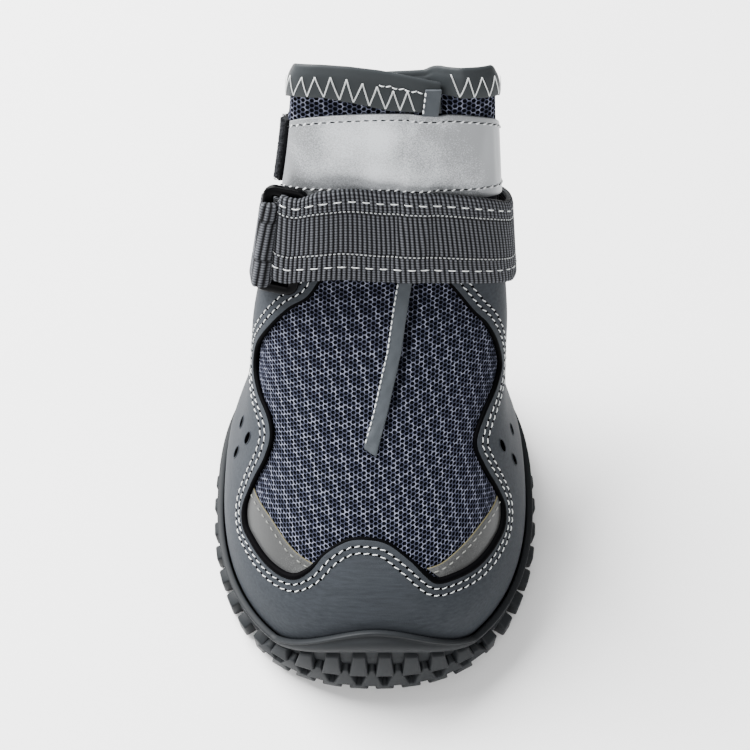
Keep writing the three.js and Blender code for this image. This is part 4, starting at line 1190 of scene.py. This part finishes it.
def cup_rings(u):
    """Rings of the cup from the floor's edge up the inside, over the rolled lip, down the side and under."""
    rim = rim_top(u)
    rings = [np.concatenate([out(u, 0 * u, CUP_IN)[:, :2], np.full((len(u), 1), FLOOR_Z)], 1)]
    rings += [out(u, rim * k, CUP_IN) for k in (0.25, 0.5, 0.75, 0.93)]
    for turn in np.linspace(0, np.pi, 9):
        rings.append(out(u, rim + 0.025 * np.sin(turn), CUP_IN + 0.75 - 0.75 * np.cos(turn)))
    toe = bell(wrap(u), 0.062)
    depth = lip_depth(u)
    for down, bulge, extra in ((0.1, 1.42, 0.0), (0.17, 1.2, 0.0), (0.28, 1.4, 0.45), (0.5, 1.45, 0.7),
                               (0.75, 1.4, 0.6), (0.95, 1.15, 0.2), (1.03, 0.7, 0.0)):
        rings.append(out(u, rim - down * depth, CUP_IN + bulge + extra * toe))
    floor_v = rim - depth
    rings.append(out(u, floor_v * 0.75, CUP_IN + 0.8 - 0.1 * toe))
    rings.append(out(u, floor_v * 0.45, CUP_IN + 0.8 - 0.2 * toe))
    ys = outline(u, 0)[:, 1]
    rings.append(outline(u, 0.0, 6.8 + 0.35 * ground(ys)))
    p = outline(u, -0.5)
    p[:, 2] += LUG_DEPTH + 0.9
    rings.append(p)
    p = outline(u, -2.2)
    p[:, 2] += LUG_DEPTH
    rings.append(p)
    for k in (0.85, 0.6, 0.3, 0.02):
        q = outline(u, -2.2)
        q[:, :2] *= k
        q[:, 2] = ground(q[:, 1]) + LUG_DEPTH
        rings.append(q)
    start = out(u, 0 * u, CUP_IN)
    top = []
    for k in (0.02, 0.5):
        q = start.copy()
        q[:, :2] *= k
        q[:, 2] = FLOOR_Z
        top.append(q)
    return np.stack(top + rings)


def closed_rings(rings, first, last):
    """Rings of points (rows, n, 3) joined in order and closed by fans to the points first and last."""
    k, n = rings.shape[:2]
    parts = Parts().add(rings, grid_faces(k, n, wrap_cols=True))
    parts.add(np.array([first, last]))
    j = np.arange(n)
    parts.tris.append(np.stack([0 * j + k * n, (j + 1) % n, j], -1))
    parts.tris.append(np.stack([0 * j + k * n + 1, (k - 1) * n + j, (k - 1) * n + (j + 1) % n], -1))
    return parts


def lug_blocks(parts, low, high):
    """Blocks from four lower and four upper corners each, (k, 4, 3) twice."""
    k = len(low)
    base = (np.arange(k) * 8)[:, None, None]
    f = np.array([[0, 3, 2, 1], [4, 5, 6, 7], [0, 1, 5, 4], [1, 2, 6, 5], [2, 3, 7, 6], [3, 0, 4, 7]])
    return parts.add(np.concatenate([low, high], 1), (base + f[None]).reshape(-1, 4))


def side_lugs(parts):
    """Blocks a 42nd of the way round apart, leaning out to their feet; the toe is left clear."""
    fine = np.linspace(0, 1, 1441)
    length = arc_length(outline(fine, 0, 0))
    u = np.interp((np.arange(LUGS_ROUND) + 0.5) / LUGS_ROUND * length[-1], length, fine)
    keep = np.abs(wrap(u - 0.003)) > 0.098
    u = u[keep]
    half = 1.75 / length[-1]
    toe = 1 - smooth((np.abs(wrap(u)) - 0.06) / 0.08)
    high = 6.6 + 2.2 * toe
    g = ground(outline(u, 0)[:, 1])

    def corner(du, grow, dz):
        p = outline(u + du, 0, 0)
        q = outline(u + du, 1.0, 0) - p
        p = p + q * np.asarray(grow)[..., None] if np.ndim(grow) else p + q * grow
        p[:, 2] = g + dz
        return p

    inner = -4.2 + 1.8 * toe
    low = np.stack([corner(-half * 0.8, inner, 0), corner(half * 0.8, inner, 0),
                    corner(half * 0.8, LUG_OUT - 0.6, 0), corner(-half * 0.8, LUG_OUT - 0.6, 0)], 1)
    top = np.stack([corner(-half, -1.4, high), corner(half, -1.4, high),
                    corner(half * 0.92, LUG_OUT - 0.5 * toe - 0.1, high - 1.5),
                    corner(-half * 0.92, LUG_OUT - 0.5 * toe - 0.1, high - 1.5)], 1)
    lug_blocks(parts, low, top)


def toe_lugs(parts):
    """Three rows over the toe: wide blocks under the lip, wedges between them, blocks at the ground."""
    def place(u, f, grow):
        """f is 0 at the ground and 1 under the lip, on the line between the sole's foot and the rim."""
        depth = lip_depth(u)
        foot = outline(u, 0.1)
        lip = out(u, rim_top(u) - depth * 1.08, CUP_IN + 0.7)
        mid = outline(u, -0.1, 6.4 + 0.35 * ground(outline(u, 0)[:, 1]))
        f = np.asarray(f, float)
        low = foot + (mid - foot) * np.clip(f / 0.42, 0, 1)[..., None]
        high = mid + (lip - mid) * np.clip((f - 0.42) / 0.58, 0, 1)[..., None]
        p = np.where((f < 0.42)[..., None], low, high)
        outward = unit(out(u, 0.9 + 0 * u, 5.0) - out(u, 0.9 + 0 * u, 1.0))
        return p + outward * np.asarray(grow, float)[..., None]

    step = 0.0252
    # count, middle, half height, half width below and above, stand-off below and above
    rows = ((8, 0.80, 0.20, 0.34, 0.22, 2.3, 1.1), (9, 0.52, 0.22, 0.42, 0.08, 2.3, 1.7),
            (8, 0.19, 0.20, 0.36, 0.22, 1.7, 2.2))
    for count, centre_f, tall, wide_low, wide_high, grow_low, grow_high in rows:
        u = (np.arange(count) - (count - 1) / 2) * step + 0.003
        sides = ((-wide_low, -1, grow_low), (wide_low, -1, grow_low), (wide_high, 1, grow_high),
                 (-wide_high, 1, grow_high))
        low = np.stack([place(u + w * step * 1.25, centre_f + f * tall * 1.1 + 0 * u, -0.8 + 0 * u)
                        for w, f, _ in sides], 1)
        top = np.stack([place(u + w * step, centre_f + f * tall * 0.85 + 0 * u, g + 0 * u)
                        for w, f, g in sides], 1)
        lug_blocks(parts, low, top)


def tread_lugs(parts):
    """Rounded blocks under the sole in staggered rows, feet on the ground line."""
    blocks = []
    for row in range(8):
        y = -33.6 + row * 9.6
        for c in range(-3, 4):
            x = (c + (0.5 if row % 2 else 0)) * 11.4
            u = math.atan2(-x, -y) / (2 * math.pi)
            edge = outline(np.array([u]), -8.2)[0]
            if math.hypot(x, y) <= math.hypot(edge[0], edge[1]):
                blocks.append((x, y, float(ground(np.array([y]))[0])))
    c = np.array(blocks)
    sx, sy = np.array([-1, 1, 1, -1]), np.array([-1, -1, 1, 1])
    low = np.stack([c[:, :1] + 3.3 * sx, c[:, 1:2] + 2.7 * sy, c[:, 2:] + 0 * sx], -1)
    top = np.stack([c[:, :1] + 3.9 * sx, c[:, 1:2] + 3.3 * sy, c[:, 2:] + LUG_DEPTH + 1.2 + 0 * sx], -1)
    lug_blocks(parts, low, top)


def build_outsole(s):
    """Rubber cup with a rolled lip, side, toe and tread lugs."""
    rubber = rubber_material("matt grey rubber", s_hex(s.rubber_colour))
    under = float(ground(np.zeros(1))[0]) + LUG_DEPTH
    cup = closed_rings(cup_rings(np.arange(260) / 260), (0, 0, FLOOR_Z), (0, 0, under))
    finish_piece(cup.mesh("sole_cup"), rubber, ["outsole"])
    for name, add_lugs, bevel in (("side_lugs", side_lugs, 0.42), ("toe_lugs", toe_lugs, 0.28),
                                  ("tread_lugs", tread_lugs, 0.4)):
        blocks = Parts()
        add_lugs(blocks)
        finish_piece(blocks.mesh(name), rubber, bevel=bevel, angle=25)


def build_insole(s):
    """Felted foam insole: a soft-edged slab on the sole's floor."""
    u = np.arange(120) / 120
    edge = out(u, 0 * u, -WALL - 1.0)
    rings = []
    for k, z in ((0.02, 7.0), (0.6, 7.0), (0.97, 7.0), (1.0, 7.5), (1.0, 8.6), (0.97, 9.2), (0.6, 9.3),
                 (0.02, 9.3)):
        q = edge * np.array([k, k, 0])
        q[:, 2] = z
        rings.append(q)
    felt = plain_material("felted foam", "#3c3f45", 0.95, grain=0.6, scale=1800, distance=0.15)
    foam = closed_rings(np.stack(rings), (0, 0, 7.0), (0, 0, 9.3))
    finish_piece(foam.mesh("insole_foam"), felt, ["insole"])


# ---------------------------------------------------------------- stage
def area_light(name, at, aim, power, size, tint=(1, 1, 1)):
    data = bpy.data.lights.new(name, "AREA")
    data.energy, data.shape, data.size, data.color = power, "SQUARE", size, tint
    obj = bpy.data.objects.new(name, data)
    obj.location = at
    obj.rotation_euler = (Vector(aim) - Vector(at)).to_track_quat("-Z", "Y").to_euler()
    bpy.context.scene.collection.objects.link(obj)
    return obj


LENS, SENSOR = 85.2192, 36   # millimetres
EYE, AIM = (0, -214.04, 379.63), (0, 9.638, 48)   # from the last's own origin, in millimetres


def build_stage(s):
    """White floor, soft key light from the left and behind, a weak fill from the front, and the camera."""
    size = 3.0
    floor = bpy.data.meshes.new("floor")
    floor.from_pydata([(x * size, y * size, 0) for x, y in ((-1, -1), (1, -1), (1, 1), (-1, 1))], [],
                      [(0, 1, 2, 3)])
    obj = bpy.data.objects.new("floor", floor)
    bpy.context.scene.collection.objects.link(obj)
    obj.location.z = -0.0003
    mat, tree, surface = base_material("pale floor", Roughness=1.0)
    surface.inputs["Base Color"].default_value = (0.93, 0.93, 0.93, 1)
    floor.materials.append(mat)
    world = bpy.data.worlds.get("studio") or bpy.data.worlds.new("studio")
    bpy.context.scene.world = world
    world.use_nodes = True
    world.node_tree.nodes["Background"].inputs[0].default_value = (1, 1, 1, 1)
    world.node_tree.nodes["Background"].inputs[1].default_value = s.sky
    target = (0, -ORIGIN_Y * MM, 0.04)
    area_light("key", (-0.62, 0.5, 0.9), target, s.key_power, 0.9)
    area_light("front fill", (-0.1, -0.9, 0.8), target, s.key_power * 0.1, 0.8)
    camera = bpy.data.objects.new("camera", bpy.data.cameras.new("camera"))
    bpy.context.scene.collection.objects.link(camera)
    camera.data.lens, camera.data.sensor_width = LENS, SENSOR
    camera.data.clip_start = 0.01
    eye, aim = (Vector((x, y - ORIGIN_Y, z)) * MM for x, y, z in (EYE, AIM))
    camera.location = eye
    camera.rotation_euler = (aim - eye).to_track_quat("-Z", "Y").to_euler()
    bpy.context.scene.camera = camera


# ---------------------------------------------------------------- the add-on
def s_hex(rgb):
    """A colour property's sRGB triple as hex."""
    return "#" + "".join(f"{int(round(c * 255)):02x}" for c in rgb)


def tone(name, hexa, about):
    rgb = tuple(int(hexa[i:i + 2], 16) / 255 for i in (1, 3, 5))
    return FloatVectorProperty(name=name, description=about, default=rgb, size=3, min=0, max=1,
                               subtype="COLOR_GAMMA")


class BootSettings(bpy.types.PropertyGroup):
    """Sizes and colours a user may change before building."""

    net_pitch: FloatProperty(name="Net pitch", description="Distance between two eyes of the net",
                             default=1.05 * MM, min=0.9 * MM, max=3 * MM, unit="LENGTH")
    stitch_pitch: FloatProperty(name="Stitch pitch",
                                description="Length of one stitch and its gap on the overlay",
                                default=1.9 * MM, min=1 * MM, max=4 * MM, unit="LENGTH")
    rib_pitch: FloatProperty(name="Webbing rib pitch", description="Distance between two ribs of the webbing",
                             default=1.02 * MM, min=0.5 * MM, max=3 * MM, unit="LENGTH")
    yarn_colour: tone("Yarn", "#363947", "Crests of the net's yarn")
    # the brighter yarns' colour and also the painted highlight on the net's crests
    yarn_bright_and_highlight: tone("Bright yarn", "#858899", "The net's brighter yarns, which draw its large scales")
    overlay_colour: tone("Overlay", "#2f3236", "Coated mudguard")
    rubber_colour: tone("Rubber", "#1f2123", "Sole")
    binding_colour: tone("Binding", "#292c2e", "Collar binding")
    webbing_colour: tone("Webbing", "#232427", "Strap ribs")
    silver_colour: tone("Silver", "#a6a9ac", "Reflective band")
    thread_colour: tone("Thread", "#d6d9d9", "Visible seams")
    sky: FloatProperty(name="Sky", description="Strength of the even light all round", default=0.68, min=0,
                       max=5)
    key_power: FloatProperty(name="Key light", description="Power of the main lamp", default=82.0, min=0,
                             max=500, unit="POWER")


def piece_operator(idname, label, about, *builders):
    """An operator class that runs the builders in order."""
    def execute(self, context):
        for build in builders:
            build(context.scene.dog_boot)
        return {"FINISHED"}

    name = "BOOT_OT_" + idname
    return type(name, (bpy.types.Operator,), {
        "__doc__": about, "bl_idname": "boot." + idname, "bl_label": label, "execute": execute})


OPERATORS = [
    piece_operator("upper", "Knitted upper", "Builds the dark lining shell and the net over it", build_upper,
                   build_knit),
    piece_operator("mudguard", "Mudguard", "Builds the coated overlay, its black edge, seams and air holes",
                   build_mudguard, build_dark_cut_edge, build_seams, build_perforations),
    piece_operator("corners", "Silver corners", "Builds the silver patches at the toe's corners",
                   build_silver_corners),
    piece_operator("slit", "Slit tape", "Builds the tape over the slit", build_slit_edging),
    piece_operator("collar", "Collar", "Builds the collar binding and its stitches", build_collar,
                   build_collar_stitches),
    piece_operator("band", "Silver band", "Builds the reflective band and the hook tape", build_band,
                   build_tape),
    piece_operator("strap", "Strap and ring", "Builds the webbing strap, the ring and its tab", build_strap,
                   build_ring),
    piece_operator("sole", "Sole", "Builds the rubber cup, its lugs and the insole", build_outsole,
                   build_insole),
    piece_operator("stage", "Stage", "Builds the floor, the lights and the camera", build_stage),
]


class BOOT_PT_panel(bpy.types.Panel):
    """Dog boot's build steps and settings."""

    bl_label = "Dog boot"
    bl_idname = "BOOT_PT_panel"
    bl_space_type = "VIEW_3D"
    bl_region_type = "UI"
    bl_category = "Dog boot"

    def draw(self, context):
        for name in BootSettings.__annotations__:
            self.layout.prop(context.scene.dog_boot, name)
        for op in OPERATORS:
            self.layout.operator(op.bl_idname)


CLASSES = [BootSettings, *OPERATORS, BOOT_PT_panel]


def register():
    for c in CLASSES:
        bpy.utils.register_class(c)
    bpy.types.Scene.dog_boot = PointerProperty(type=BootSettings)


def unregister():
    del bpy.types.Scene.dog_boot
    for c in reversed(CLASSES):
        bpy.utils.unregister_class(c)


def main():
    """Builds every piece in order and notes the part's bounds before and after."""
    register()
    for op in OPERATORS:
        getattr(bpy.ops.boot, op.bl_idname.split(".")[1])()


if __name__ == "__main__":
    main()
